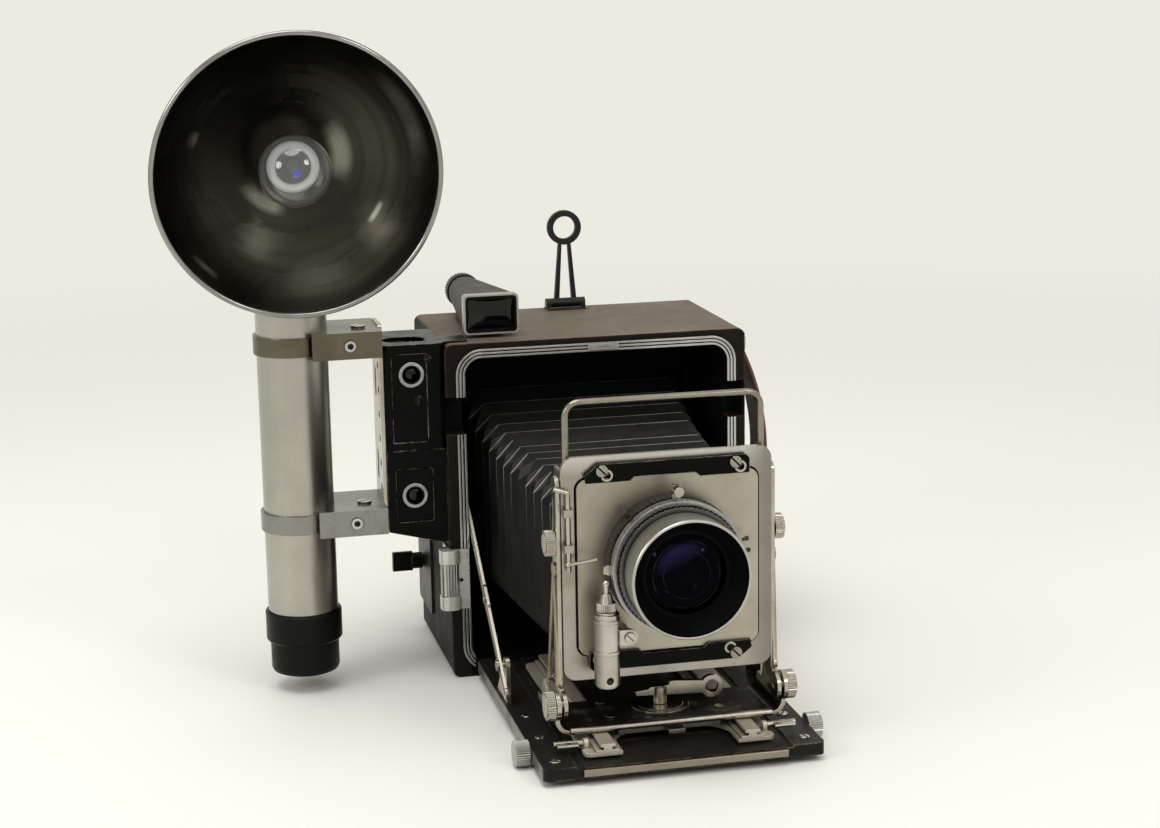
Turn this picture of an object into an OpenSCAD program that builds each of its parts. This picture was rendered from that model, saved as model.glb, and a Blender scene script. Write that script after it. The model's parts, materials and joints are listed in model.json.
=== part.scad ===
// Folding press camera: a leather-covered case with a drop bed, a lens standard that slides on a
// geared track, a pleated bellows, three finders and a battery flash held by two clamps.
// The front faces -Y, up is +Z, and the origin is the mouth of the tripod socket in the base.
// All sizes are in millimetres.

/* [Case] */
// Width of the case
case_w = 160; // [154:1:176]
// Height of the case
case_h = 178; // [174:1:192]
// Depth of the main box
case_d = 98; // [96:1:110]
// Thickness of the side walls
side_wall = 10; // [9:0.5:12]
// Thickness of the top wall
top_wall = 7.5; // [6:0.5:9]
// Thickness of the floor
floor_t = 8; // [7.5:0.5:9]
// Radius of the long outer edges
case_r = 4; // [2:0.5:6]
// Depth of the front well that takes the folded front
well_d = 62; // [58:1:64]
// Radius of the upper corners of the front well
well_r = 9; // [6:0.5:12]
// Width of the bright trim round the front opening
trim_w = 4.6; // [4:0.2:6]
// Thickness of the bright trim
trim_t = 1.6; // [1.2:0.1:2]
// Radius of the tripod screw socket
socket_r = 3.175; // [3:0.025:3.5]
// Height of the corner release
release_h = 32; // [28:1:33]

/* [Film end] */
// Width of the film opening
film_w = 128; // [120:1:130]
// Height of the film opening
film_h = 102; // [96:1:104]
// Radius of the two curtain rollers
roller_r = 6; // [5:0.5:7]
// Thickness of the fixed back frame
back_t = 12; // [10:0.5:14]
// Depth of the focusing hood
hood_d = 18; // [14:1:24]
// Travel of the sprung back panel, the thickness of a film holder
holder_t = 12; // [10:0.5:14]

/* [Bed and track] */
// Length of the bed in front of the case
bed_l = 166; // [164:1:172]
// Height of the underside of the bed
bed_z = 3.1; // [2.5:0.1:4]
// Thickness of the bed at its sides
bed_t = 6.2; // [6:0.1:7]
// Room between each side of the bed and the well
bed_room = 2.25; // [2.2:0.05:3]
// Distance of each rail from the middle
rail_x = 35; // [33:0.5:37]
// Height of the rails above the track plate
rail_h = 4; // [3.6:0.2:5]
// Width of the track plate
track_w = 92; // [88:1:96]
// Pitch radius of the focus pinion
pinion_r = 2.4; // [2.3:0.05:2.5]
// Number of pinion teeth
pinion_teeth = 8; // [8:1:8]
// Radius of the focus knobs
focus_knob_r = 6.2; // [5.4:0.1:6.4]
// Length of each focus knob
focus_knob_l = 7; // [5:0.5:9]
// Travel of the track by the knobs
focus_travel = 35; // [30:1:40]

/* [Standard] */
// Distance from the case front to the front face of the standard
std_dist = 136; // [132:1:138]
// Width of the lens frame
frame_w = 101.2; // [98:0.2:106]
// Height of the lens frame
frame_h = 106.7; // [104:0.1:112]
// Height of the lower edge of the lens frame
frame_z = 40.2; // [39:0.2:42]
// Width of the lens board
board_w = 87.2; // [84:0.2:88]
// Height of the lens board
board_h = 84.4; // [82:0.2:86]
// Thickness of the lens board
board_t = 3; // [2.5:0.1:3.5]
// Height of the tilt pivot
tilt_z = 30; // [29:0.5:31]
// Height of the rise lock knobs
rise_z = 106; // [103:1:109]
// Travel of the rising front
rise_travel = 19; // [14:1:20]
// Radius of the rise lock knobs
rise_knob_r = 6.1; // [5.8:0.1:7]
// Radius of the tilt lock knobs
tilt_knob_r = 6.9; // [6.5:0.1:7.8]
// Radius of the finder wire
wire_r = 1.5; // [1.2:0.1:1.6]
// Height of the top of the wire finder above the lens frame
wire_rise = 26.5; // [24:0.5:40]

/* [Lens] */
// Height of the lens axis
axis_z = 97; // [95:0.5:98]
// Radius of the shutter case
shutter_r = 32; // [31:0.5:33]
// Depth of the shutter case
shutter_d = 12; // [10:0.5:14]
// Depth of the turning speed ring
ring_d = 6.5; // [5:0.5:8]
// Length of the front barrel
barrel_l = 19; // [16:0.5:22]
// Outer radius of the barrel rim
barrel_r = 28; // [27.4:0.1:29]
// Radius of the solenoid
solenoid_r = 6; // [5:0.25:6.25]
// Length of the solenoid
solenoid_l = 35; // [32:1:36]

/* [Bellows] */
// Number of pleats
pleats = 15; // [12:1:16]
// Depth of a pleat
pleat_d = 6; // [5:0.5:6.5]
// Half width of the bellows at the film end
bellows_w0 = 61; // [59:0.5:64]
// Height of the top of the bellows above the lens axis at the film end
bellows_up0 = 49; // [47:0.5:51]
// Height of the top of the bellows above the lens axis at the lens end
bellows_up1 = 30.7; // [30:0.1:33]
// Depth of the bottom of the bellows below the lens axis
bellows_down = 55; // [53:0.5:56]
// Thickness of the bellows wall
bellows_t = 0.8; // [0.6:0.1:1.2]

/* [Finders] */
// Width of the rangefinder housing
range_w = 31; // [28:0.5:34]
// Depth of the rangefinder housing
range_d = 44; // [40:1:48]
// Height of the rangefinder housing
range_h = 105; // [100:1:110]
// Distance between the rangefinder windows
range_base = 63.5; // [60:0.5:66]
// Height of the lower rangefinder cover
range_cover_h = 50; // [46:1:52]
// Distance of the tubular finder from the middle
finder_x = 52.5; // [48:0.5:56]
// Width of the tubular finder's bezel
bezel_w = 29; // [26:0.5:32]
// Height of the tubular finder's bezel
bezel_h = 21; // [19:0.5:24]
// Length of the tubular finder's body
finder_l = 74; // [68:1:78]
// Radius of the finder eyepiece
eyepiece_r = 9.6; // [8.5:0.1:10]
// Height of the peep ring above the case
peep_h = 45.5; // [40:0.5:50]
// Outer radius of the peep ring
peep_r = 9.5; // [8:0.5:11]

/* [Flash] */
// Distance of the flash tube from the middle of the case
flash_x = 156.3; // [153:0.1:160]
// Distance of the flash tube behind the case front
flash_back = 10; // [8:1:14]
// Outer radius of the flash tube
tube_r = 18; // [17.75:0.25:18.5]
// Height of the lower end of the flash tube
tube_z = 43; // [41:1:46]
// Length of the flash tube
tube_l = 255; // [252:1:262]
// Height of the middle of the reflector
reflector_z = 281.5; // [279:0.5:283]
// Radius of the reflector rim
reflector_r = 68.6; // [66:0.2:71]
// Depth of the reflector bowl
reflector_d = 42; // [38:1:46]
// Downward tilt of the reflector
reflector_tilt = 8; // [0:1:10]
// Radius of the bulb
bulb_r = 17.5; // [15:0.5:18]
// Height of the end cap
cap_h = 33; // [30:1:36]

/* [Hidden] */
$fn = 48;
gap = 0.3;
run = 0.05;
sides = [-1, 1];
front = -case_d / 2;
rear = case_d / 2;
half_w = case_w / 2;

// Front well and film end
well_w = case_w - 2 * side_wall;
well_top = case_h - top_wall;
trim_break = [well_top - 39.5, well_top - 20];
notch_d = 10;
notch_wall = 1.5;
bulkhead_t = 5;
film_z = axis_z - 2;
chamber_y = front + well_d + bulkhead_t;
chamber_w = film_w + 8;
roller_span = case_h - 72;
chamber_h = roller_span + 4 * roller_r + 2;
roller_y = (chamber_y + rear) / 2 + 1;
roller_shaft_r = 2.5;
roller_end = 5;
curtain_t = 0.5;
curtain_over = 2;
socket_depth = 6.5;
bush_r = 9;
bush_flange_r = 13;
bush_flange_t = 1.5;

// Bed, hinge and braces
bed_w = well_w - 2 * bed_room;
bed_rear = front - 1.5;
bed_front = front - bed_l;
bed_top = bed_z + bed_t;
deck_w = 104;
deck_step = 1;
deck_z = bed_top - deck_step;
hinge_y = front - 4;
hinge_z = bed_z + bed_t / 2;
hinge_pin_r = 1.5;
lug_x = [45, 60];
lug_room = 0.4;
brace_t = 1.4;
brace_w = 5.4;
brace_pin_r = 2;
brace_pin_l = 5;
brace_top = [front + 14, 93.4];
brace_foot = [front - 72, 29.3];
brace_slot_l = 16;
foot_pin_r = 1.5;
foot_ear_x = bed_w / 2 - 3.2;

// Track, rack and pinion
track_z = bed_top + gap;
track_t = 1.8;
track_rear = front - 20;
track_front = front - 157;
rail_z = track_z + track_t;
rail_top = rail_z + rail_h;
rail_foot_w = 11;
rail_head_w = 7;
rail_web_w = 4;
rail_foot_t = 1.2;
rail_head_t = 1.4;
cut_w = 56;
cut_l = 27;
cut_r = 14;
slot_at = 85;
slot_l = 66;
pinion_y = front - 135;
pinion_pitch = 2 * PI * pinion_r / pinion_teeth;
pinion_add = 0.45;
pinion_ded = 0.6;
pinion_z = track_z - pinion_add - 0.15 - pinion_r;
pinion_w = 5;
pinion_shaft_r = 1.5;
rack_w = 4.4;
stop_y = front - 147;
stop_pin_r = 1;

// Standard
std_y = front - std_dist;
base_front = std_y - 5;
base_rear = std_y + 34;
base_t = 1.8;
base_side_h = 9;
base_bend_r = 7;
base_z = rail_top + gap;
plate_t = 3;
flange_t = 1.7;
flange_d = 14;
arm_t = 1.8;
arm_w = 9;
strap_out = 1;
tilt_y = std_y - 3;
rise_y = std_y + 6;
arm_x = frame_w / 2 + 0.4;
ear_t = 2;
ear_x = arm_x + arm_t + strap_out + 0.4;
ear_r = 7;
base_w = 2 * (ear_x + ear_t);
lock_screw_r = 2;
frame_mid = frame_z + frame_h / 2;
frame_r = 6;
board_mid = frame_z + 54.4;
board_room = 0.6;
board_proud = 1.5;
board_y = std_y - board_proud;
window_w = 68;
window_h = 54;
wire_x = frame_w / 2 - flange_t - 0.4 - wire_r;
wire_y = std_y + plate_t + 1 + wire_r;
guide_wall = 1;
guide_x = wire_x - wire_r - guide_wall;
wire_top = frame_z + frame_h + wire_rise - wire_r;
wire_bend = 7;
wire_leg = 92;
slide_t = 1.4;
slide_y = board_y - gap - slide_t;
slide_travel = 3.6;
slide_stud_r = 1.5;
slide_stud_x = 32;
disc_r = 14;
disc_t = 1.5;
lever_post_r = 2;
lever_y = std_y + 17;
lever_ring = [25.8, base_z + 9.8];

// Lens, measured forward from the lens board
core_r = 26;
light_r = 17;
tail_r = 21;
lever_t = 2;
ring_at = shutter_d + lever_t + 2 * gap;
barrel_at = ring_at + ring_d + gap;
rim_at = barrel_at + barrel_l;
ring_band = ring_d - 1.4;
glass_r = 19;
solenoid_x = -33.5;
solenoid_at = shutter_d + gap + lever_t / 2;
solenoid_y = board_y - solenoid_at;
solenoid_z = axis_z - 55.5;
nut_h = 9.5;
lug_z = axis_z - 32.5;
lug_end = -23;
plunger_r = 1.4;
plunger_ball_r = 1.9;
plunger_top = axis_z - 6.5;
link_x = 2.6 - frame_w / 2;
link_y = std_y - 3;
link_r = 1.1;
link_z = axis_z + 4.5;

// Finders
range_x1 = -half_w - 0.2;
range_x0 = range_x1 - range_w;
range_mid = (range_x0 + range_x1) / 2 - 1.5;
range_y0 = front + 1.5;
range_z1 = case_h + 1;
range_z0 = range_z1 - range_h;
release_z = range_z0 - 4 - release_h;
window_z = range_z1 - 15.5;
window_r = 4.2;
ring_wall = 1.2;
ring_lip = 1.1;
cover_t = 1.2;
bracket_t = 2;
bracket_x = range_x0 - bracket_t;
bracket_w = 24;
bracket_z0 = range_z0 + 8;
bracket_z1 = range_z1 + 11;
finder_y0 = front + 14;
finder_z = case_h + 12.3;
bezel_d = 5;
bezel_side = 4.5;
bezel_top = 5.5;
eyepiece_l = 7;
eyepiece_hole = 5;
spigot_r = 6.5;
peep_x = 4;
peep_y = rear - 7;
peep_pin_r = 1.2;
peep_t = 2.6;
peep_hub_r = 2.6;
peep_pin_z = case_h + 3.6;

// Flash
tube_wall = 1;
tube_bore = tube_r - tube_wall;
flash_y = front + flash_back;
tube_top = tube_z + tube_l;
cap_band_r = tube_r + 1.6;
cap_band_h = 16;
cap_plug_h = 15;
cell_r = 16.6;
cell_l = 60;
clamp_t = 1.6;
clamp_h = 13.5;
clamp_half = tube_r + clamp_t + 1.4;
clamp_reach = 8;
band_inset = 2;
clamp_upper = bracket_z1 - 1;
clamp_lower = bracket_z0 + 2;
bowl_t = 1.2;
bowl_at = tube_r + 6;
bowl_ball = (reflector_r * reflector_r + reflector_d * reflector_d) / (2 * reflector_d);
bead_r = 1.3;
socket_out_r = 11;
bulb_at = 30;

// Shared shapes

// Rectangle with round corners, centred
module rounded_rect(w, h, r) {
    square([w - 2 * r, h], center = true);
    square([w, h - 2 * r], center = true);
    for (sx = sides, sy = sides) translate([sx * (w / 2 - r), sy * (h / 2 - r)]) circle(r);
}

// Flat strip between two points of a plane
module strip_between(a, b, w) {
    d = b - a;
    translate(a) rotate(atan2(d[1], d[0])) translate([0, -w / 2]) square([norm(d), w]);
}

// The same strip with round ends
module bar(a, b, w) {
    strip_between(a, b, w);
    for (p = [a, b]) translate(p) circle(w / 2);
}

// Extrude a (y, z) profile along X, an (x, z) profile along Y and an (x, y) profile along Z
module along_x(x0, x1) translate([x0, 0, 0]) rotate([90, 0, 90]) linear_extrude(x1 - x0) children();
module along_y(y0, y1) translate([0, y1, 0]) rotate([90, 0, 0]) linear_extrude(y1 - y0) children();
module along_z(z0, z1) translate([0, 0, z0]) linear_extrude(z1 - z0) children();

// Box from its three ranges
module block(x, y, z) translate([x[0], y[0], z[0]]) cube([x[1] - x[0], y[1] - y[0], z[1] - z[0]]);

// Round bars along the three axes
module rod_x(r, x0, x1, y, z) translate([x0, y, z]) rotate([0, 90, 0]) cylinder(r = r, h = x1 - x0);
module rod_y(r, y0, y1, x, z) translate([x, y0, z]) rotate([-90, 0, 0]) cylinder(r = r, h = y1 - y0);
module rod_z(r, z0, z1, x, y) translate([x, y, z0]) cylinder(r = r, h = z1 - z0);

// Round bar between two points
module rod(a, b, r) {
    d = b - a;
    translate(a) rotate([0, acos(d[2] / norm(d)), atan2(d[1], d[0])]) cylinder(r = r, h = norm(d));
}

// Outline of a knob with pointed ribs
module ribs(r, n, depth) polygon([for (i = [0 : 2 * n - 1])
    let (a = 180 * i / n, ri = i % 2 == 0 ? r : r - depth) [ri * cos(a), ri * sin(a)]]);

// Mirror to the left side
module on_side(s) mirror([s < 0 ? 1 : 0, 0, 0]) children();

// Place a shape drawn along +Z on the lens axis, growing forward from the lens board
module on_axis(at = 0) translate([0, board_y - at, axis_z]) rotate([90, 0, 0]) children();

// Case

module well_profile() {
    h = well_top - floor_t;
    translate([0, floor_t + h / 2]) rounded_rect(well_w, h, well_r);
    translate([-well_w / 2, floor_t]) square([well_w, h / 2]);
}

module case_shell() color("#2b211d") difference() {
    union() {
        along_y(front, rear) translate([0, case_h / 2]) rounded_rect(case_w, case_h, case_r);
        for (s = sides) on_side(s) {
            rod_x(bed_t / 2, lug_x[0], lug_x[1], hinge_y, hinge_z);
            block(lug_x, [hinge_y, front + 1], [bed_z, bed_top]);
        }
    }
    along_y(front - 1, front + well_d) well_profile();
    block([-half_w - 1, 1 - well_w / 2], [front - 1, front + notch_d], trim_break);
    block([well_w / 2 - 1, half_w - notch_wall], [front - 1, front + notch_d], trim_break);
    along_y(front, rear) translate([0, film_z]) square([film_w, film_h], center = true);
    along_y(chamber_y, rear + 1) translate([0, film_z]) square([chamber_w, chamber_h], center = true);
    for (s = sides) roller_bores(film_z + s * roller_span / 2);
    for (s = sides) on_side(s) {
        rod_x(brace_pin_r + run, well_w / 2 - 1, well_w / 2 + brace_pin_l + gap, brace_top[0], brace_top[1]);
        rod_x(hinge_pin_r + run, lug_x[0] - 1, lug_x[1] + 1, hinge_y, hinge_z);
    }
    rod_x(roller_shaft_r + run, -half_w - 1, -chamber_w / 2, roller_y, film_z - roller_span / 2);
    rod_z(bush_r, -1, socket_depth + 0.5, 0, 0);
    rod_z(bush_flange_r, socket_depth + 0.5 - bush_flange_t, floor_t + 1, 0, 0);
}

module roller_bores(z)
    rod_x(roller_shaft_r + run, -chamber_w / 2 - roller_end, chamber_w / 2 + roller_end, roller_y, z);

module tripod_bush() color("silver") difference() {
    union() {
        rod_z(bush_r, 0, socket_depth + 0.5, 0, 0);
        rod_z(bush_flange_r, socket_depth + 0.5 - bush_flange_t, socket_depth + 0.5, 0, 0);
    }
    rod_z(socket_r, -1, socket_depth, 0, 0);
}

// Trim frame between two insets from its inner edge
module trim_frame(inner, outer, t) along_y(front - t, front) difference() {
    h = well_top - floor_t;
    translate([0, floor_t + h / 2]) rounded_rect(well_w + 2 * outer, h + 2 * outer, well_r + outer);
    translate([0, floor_t + h / 2]) rounded_rect(well_w + 2 * inner, h + 2 * inner, well_r + inner);
}

module front_trim() color("silver") {
    bead = trim_w * 0.24;
    difference() {
        union() {
            trim_frame(0, trim_w, trim_t / 2);
            trim_frame(0, bead, trim_t);
            trim_frame((trim_w - bead) / 2, (trim_w + bead) / 2, trim_t);
            trim_frame(trim_w - bead, trim_w, trim_t);
            block([-5, 11], [front - trim_t - 0.6, front], [well_top + 0.5, well_top + trim_w - 0.5]);
        }
        block([-half_w, half_w], [front - 5, front + 1], trim_break);
        block([-bed_w / 2 - 0.6, bed_w / 2 + 0.6], [front - 5, front + 1], [-1, bed_top + 8]);
        block([-half_w, 0], [front - 5, front + 1], [release_z - gap, release_z + release_h + gap]);
        block([0, 6], [front - 5, front - trim_t], [well_top + 2.2, well_top + trim_w - 2.2]);
    }
}

module shutter_side_plate() color("#161616") difference() {
    along_x(-half_w - 1.4, -half_w) translate([(chamber_y + rear) / 2 - 3, case_h / 2])
        rounded_rect(rear - chamber_y + 10, case_h - 34, 3);
    rod_x(roller_shaft_r + 1, -half_w - 3, -half_w + 1, roller_y, film_z - roller_span / 2);
}

module roller(z) {
    rod_x(roller_r, -chamber_w / 2 + gap, chamber_w / 2 - gap, roller_y, z);
    rod_x(roller_shaft_r, -chamber_w / 2 - roller_end + gap, chamber_w / 2 + roller_end - gap, roller_y, z);
}

module winding_key() color("#1b1b1b") {
    z = film_z - roller_span / 2;
    key_x = -half_w - 2.2;
    roller(z);
    rod_x(roller_shaft_r, key_x - 1, -chamber_w / 2, roller_y, z);
    rod_x(4.5, key_x - 6, key_x, roller_y, z);
    along_x(key_x - 16.5, key_x - 5.5) translate([roller_y, z]) rounded_rect(4, 11, 1.5);
}

module tension_roller() color("dimgray") roller(film_z + roller_span / 2);

module focal_curtain() color("#101010") {
    y1 = roller_y - roller_r - gap;
    block([-film_w / 2 - curtain_over, film_w / 2 + curtain_over], [y1 - curtain_t, y1],
        [film_z - roller_span / 2, film_z + roller_span / 2]);
}

// Corner release: a plate wrapped round the corner with two end blocks, and the ribbed bar between them
release_plate = 1.2;
release_end_h = 7.2;
release_push = 1.5;

// Corner block, drawn in plan, that leaves the corner of the case free
module corner_outline(size, r, clear_x, clear_y) difference() {
    translate([-half_w - 0.3, front + 1.3]) rounded_rect(size, size, r);
    translate([-half_w - clear_x, front - clear_y]) square(size);
}

module release_housing() color("silver") {
    z1 = release_z + release_h;
    block([-half_w - release_plate, -half_w + 9.7], [front - release_plate, front], [release_z, z1]);
    block([-half_w - release_plate, -half_w], [front, front + 16], [release_z, z1]);
    for (z = [release_z, z1 - release_end_h])
        along_z(z, z + release_end_h) corner_outline(10.6, 4, release_plate - 0.1, release_plate - 0.1);
    for (z = [release_z + 3.6, z1 - 3.6])
        rod_y(1.1, front - release_plate - 0.5, front - release_plate + 0.1, -half_w + 7.2, z);
}

module release_bar() color("silver")
    along_z(release_z + release_end_h + gap, release_z + release_h - release_end_h - gap) difference() {
        corner_outline(9.6, 3.5, release_plate + gap + release_push, release_plate + gap);
        for (i = [0 : 4]) {
            translate([-half_w - 2.6 + i * 1.6, front - 3.5]) circle(0.5, $fn = 16);
            translate([-half_w - 5.1, front - 1.2 + i * 1.6]) circle(0.5, $fn = 16);
        }
    }

// Hand strap: one shallow arch held by two lugs
strap_z = [52, 164];
strap_y = [front + 10, front + 34];
strap_t = 2.6;
strap_bulge = 13;
strap_half = (strap_z[1] - strap_z[0]) / 2;
strap_arc = (strap_half * strap_half + strap_bulge * strap_bulge) / (2 * strap_bulge);

module strap_lugs() color("silver") for (z = strap_z)
    along_x(half_w, half_w + 3) translate([(strap_y[0] + strap_y[1]) / 2, z + (z == strap_z[0] ? -5 : 5)])
        rounded_rect(strap_y[1] - strap_y[0] + 4, 9.4, 2.5);

module hand_strap() color("#3a2a1e") along_y(strap_y[0], strap_y[1]) intersection() {
    translate([half_w + gap + strap_bulge - strap_arc, (strap_z[0] + strap_z[1]) / 2]) difference() {
        circle(strap_arc + strap_t, $fn = 96);
        circle(strap_arc, $fn = 96);
    }
    translate([half_w + gap, strap_z[0]]) square([strap_bulge + strap_t + 1, strap_z[1] - strap_z[0]]);
}

// Film end: fixed frame, sprung panel with ground glass and hood, and the hood's cover
back_w = case_w - 6;
panel_w = film_w + 12;
panel_h = film_h + 22;
panel_y = rear + back_t + gap;
panel_t = 7;
hood_y = panel_y + panel_t;
hood_wall = 3;
hood_end = hood_y + hood_d;
cover_y = hood_end + gap;
hood_hinge_z = film_z + panel_h / 2 + 3.2;
hood_pin_r = 1.2;
hood_knuckle_r = 2.6;
hood_hinge_y = cover_y + 1;

module back_frame() color("#191919") difference() {
    along_y(rear, rear + back_t) translate([0, film_z]) rounded_rect(back_w, chamber_h + 18, 4);
    along_y(rear - 1, rear + back_t + 1) translate([0, film_z]) square([film_w, film_h], center = true);
}

module back_panel() color("#202020") {
    difference() {
        union() {
            along_y(panel_y, hood_y) translate([0, film_z]) rounded_rect(panel_w, panel_h, 3);
            along_y(hood_y, hood_end) translate([0, film_z]) rounded_rect(panel_w - 4, panel_h - 2, 3);
        }
        along_y(panel_y - 1, hood_end + 1) translate([0, film_z])
            square([film_w - 6, film_h - 6], center = true);
        along_y(hood_y - 2, hood_end + 1) translate([0, film_z])
            square([panel_w - 4 - 2 * hood_wall, panel_h - 2 - 2 * hood_wall], center = true);
    }
    for (s = sides) on_side(s) difference() {
        union() {
            rod_x(hood_knuckle_r, 40, 50, hood_hinge_y, hood_hinge_z);
            block([40, 50], [hood_end - 4, hood_hinge_y], [film_z + panel_h / 2 - 2, hood_hinge_z]);
        }
        block([39, 51], [hood_end, hood_hinge_y + 5], [film_z, film_z + panel_h / 2 + gap]);
    }
    rod_x(hood_pin_r, -45, 45, hood_hinge_y, hood_hinge_z);
}

module ground_glass() color("#c8d0cc", 0.7) block([-film_w / 2 + 0.5, film_w / 2 - 0.5],
    [hood_y - 2, hood_y - 0.2], [film_z - film_h / 2 + 0.5, film_z + film_h / 2 - 0.5]);

module hood_cover() color("#232323") difference() {
    union() {
        along_y(cover_y, cover_y + 2.6) translate([0, film_z]) rounded_rect(panel_w - 4, panel_h, 3);
        rod_x(hood_knuckle_r, -39.5, 39.5, hood_hinge_y, hood_hinge_z);
        block([-39.5, 39.5], [cover_y, cover_y + 2.6], [film_z + panel_h / 2 - 2, hood_hinge_z]);
    }
    rod_x(hood_pin_r + run, -60, 60, hood_hinge_y, hood_hinge_z);
    for (s = sides) on_side(s) block([39.5, 50.5], [cover_y - 1, cover_y + 4],
        [film_z + panel_h / 2 - 4, hood_hinge_z + 4]);
}

// Bed

module bed() color("#1a1918") {
    bed_plate();
    rod_x(hinge_pin_r, -lug_x[1] - 3, lug_x[1] + 3, hinge_y, hinge_z);
    for (s = sides) on_side(s) brace_ear();
}

// Ear on the bed with the headed pin that runs in the slot of a brace
module brace_ear() {
    along_x(foot_ear_x, foot_ear_x + 2) {
        translate(brace_foot) circle(4);
        translate([brace_foot[0] - 4, bed_top - 0.5]) square([8, brace_foot[1] - bed_top + 0.5]);
        polygon([[brace_foot[0], bed_top - 0.5], [brace_foot[0] + 22, bed_top - 0.5],
            [brace_foot[0] + 2, brace_foot[1] + 3]]);
    }
    pin_end = bed_w / 2 + 0.4 + brace_t + gap;
    rod_x(foot_pin_r, foot_ear_x + 1, pin_end + 0.5, brace_foot[0], brace_foot[1]);
    rod_x(foot_pin_r + 1.2, pin_end, pin_end + 1, brace_foot[0], brace_foot[1]);
}

module bed_plate() difference() {
    along_z(bed_z, bed_top) translate([0, (bed_front + bed_rear) / 2])
        rounded_rect(bed_w, bed_rear - bed_front, 3);
    block([-deck_w / 2, deck_w / 2], [bed_front - 1, bed_rear + 1], [deck_z, bed_top + 1]);
    for (s = sides) on_side(s) {
        block([lug_x[0] - lug_room, lug_x[1] + lug_room], [hinge_y - bed_t / 2 - lug_room, front],
            [bed_z - 1, bed_top + 1]);
        block([rail_x - pinion_w / 2 - gap, rail_x + pinion_w / 2 + gap],
            [pinion_y - pinion_r - pinion_add - gap, pinion_y + pinion_r + pinion_add + gap],
            [pinion_z - pinion_r - pinion_add - gap, bed_top + 1]);
    }
    rod_x(pinion_shaft_r + run, -bed_w, bed_w, pinion_y, pinion_z);
}

module bed_edge_strip() color("silver") along_x(-49, 49)
    translate([bed_front - 0.9, (bed_z + deck_z) / 2 + 0.4]) rounded_rect(1.8, 3.6, 0.6);

// Brace: a slotted strap with a folding joint, pinned in the wall of the case
module brace(s) color("silver") on_side(s) {
    x0 = bed_w / 2 + 0.4;
    d = brace_foot - brace_top;
    along = d / norm(d);
    end = brace_foot + along * (brace_slot_l + 1);
    joint = brace_top + d * 0.62;
    difference() {
        along_x(x0, x0 + brace_t) {
            bar(brace_top, end, brace_w);
            for (p = [brace_top, end]) translate(p) circle(brace_w * 0.57);
            bar(joint - along * 5, joint + along * 5, brace_w + 1.6);
        }
        along_x(x0 - 1, x0 + brace_t + 1)
            bar(brace_foot, brace_foot + along * brace_slot_l, 2 * (foot_pin_r + 0.3));
    }
    rod_x(1.8, x0 + brace_t / 2, x0 + brace_t + 0.8, joint[0], joint[1]);
    rod_x(brace_pin_r, x0 + brace_t / 2, well_w / 2 + brace_pin_l, brace_top[0], brace_top[1]);
}

// Focusing track: slotted plate, two T rails and the racks under them

module rail_profile() {
    translate([-rail_foot_w / 2, rail_z - 0.1]) square([rail_foot_w, rail_foot_t + 0.1]);
    translate([-rail_web_w / 2, rail_z]) square([rail_web_w, rail_h - 0.1]);
    translate([-rail_head_w / 2, rail_top - rail_head_t]) square([rail_head_w, rail_head_t]);
}

// Rack teeth as a (y, z) outline, with a tooth space centred over the pinion at rest
module rack_teeth() {
    tip = pinion_pitch * 0.1;
    root = pinion_pitch * 0.28;
    z_root = track_z + 0.2;
    z_tip = pinion_z + pinion_r - pinion_add + 0.12;
    first = pinion_y - 4.5 * pinion_pitch;
    count = 9 + ceil(focus_travel / pinion_pitch);
    for (i = [0 : count]) translate([first + i * pinion_pitch, 0])
        polygon([[-root, z_root], [-tip, z_tip], [tip, z_tip], [root, z_root]]);
}

module focus_track() color("#c9c3b4") {
    difference() {
        along_z(track_z, rail_z) translate([0, (track_front + track_rear) / 2])
            rounded_rect(track_w, track_rear - track_front, 3);
        along_z(track_z - 1, rail_z + 1) {
            translate([0, track_front]) rounded_rect(cut_w, 2 * cut_l, cut_r);
            translate([0, track_front + slot_at]) rounded_rect(cut_w, slot_l, cut_r);
        }
        rod_stop_seats();
    }
    for (s = sides) on_side(s) {
        along_y(track_front, track_rear) translate([rail_x, 0]) rail_profile();
        along_x(rail_x - rack_w / 2, rail_x + rack_w / 2) rack_teeth();
        stop_ears();
    }
}

// Ears that carry the infinity stops
module stop_ears() difference() {
    along_x(track_w / 2 - 3.5, track_w / 2 - 1.5) {
        translate([stop_y, rail_z + 2.2]) circle(2);
        translate([stop_y - 2, rail_z - 0.1]) square([4, 2.3]);
    }
    rod_x(stop_pin_r + run, track_w / 2 - 5, track_w / 2, stop_y, rail_z + 2.2);
}

module rod_stop_seats() for (s = sides) on_side(s)
    block([track_w / 2 - 1.2, track_w / 2 + 1], [stop_y - 3, stop_y + 3], [track_z - 1, rail_z + 1]);

module infinity_stops() color("silver") for (s = sides) on_side(s) {
    x1 = track_w / 2 - 1.2;
    rod_x(stop_pin_r, track_w / 2 - 3.4, x1 + 1, stop_y, rail_z + 2.2);
    along_x(x1, x1 + 14) translate([stop_y, rail_z + 2.2]) circle(1.5);
    along_x(x1 + 3, x1 + 13) translate([stop_y - 2, rail_z + 2.2]) rounded_rect(5, 1.8, 0.7);
}

module pinion_outline() {
    root_half = pinion_pitch * 0.25;
    tip_half = pinion_pitch * 0.09;
    circle(pinion_r - pinion_ded);
    for (i = [0 : pinion_teeth - 1]) rotate(i * 360 / pinion_teeth)
        polygon([[-root_half, pinion_r - pinion_ded - 0.15], [-tip_half, pinion_r + pinion_add],
            [tip_half, pinion_r + pinion_add], [root_half, pinion_r - pinion_ded - 0.15]]);
}

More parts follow.
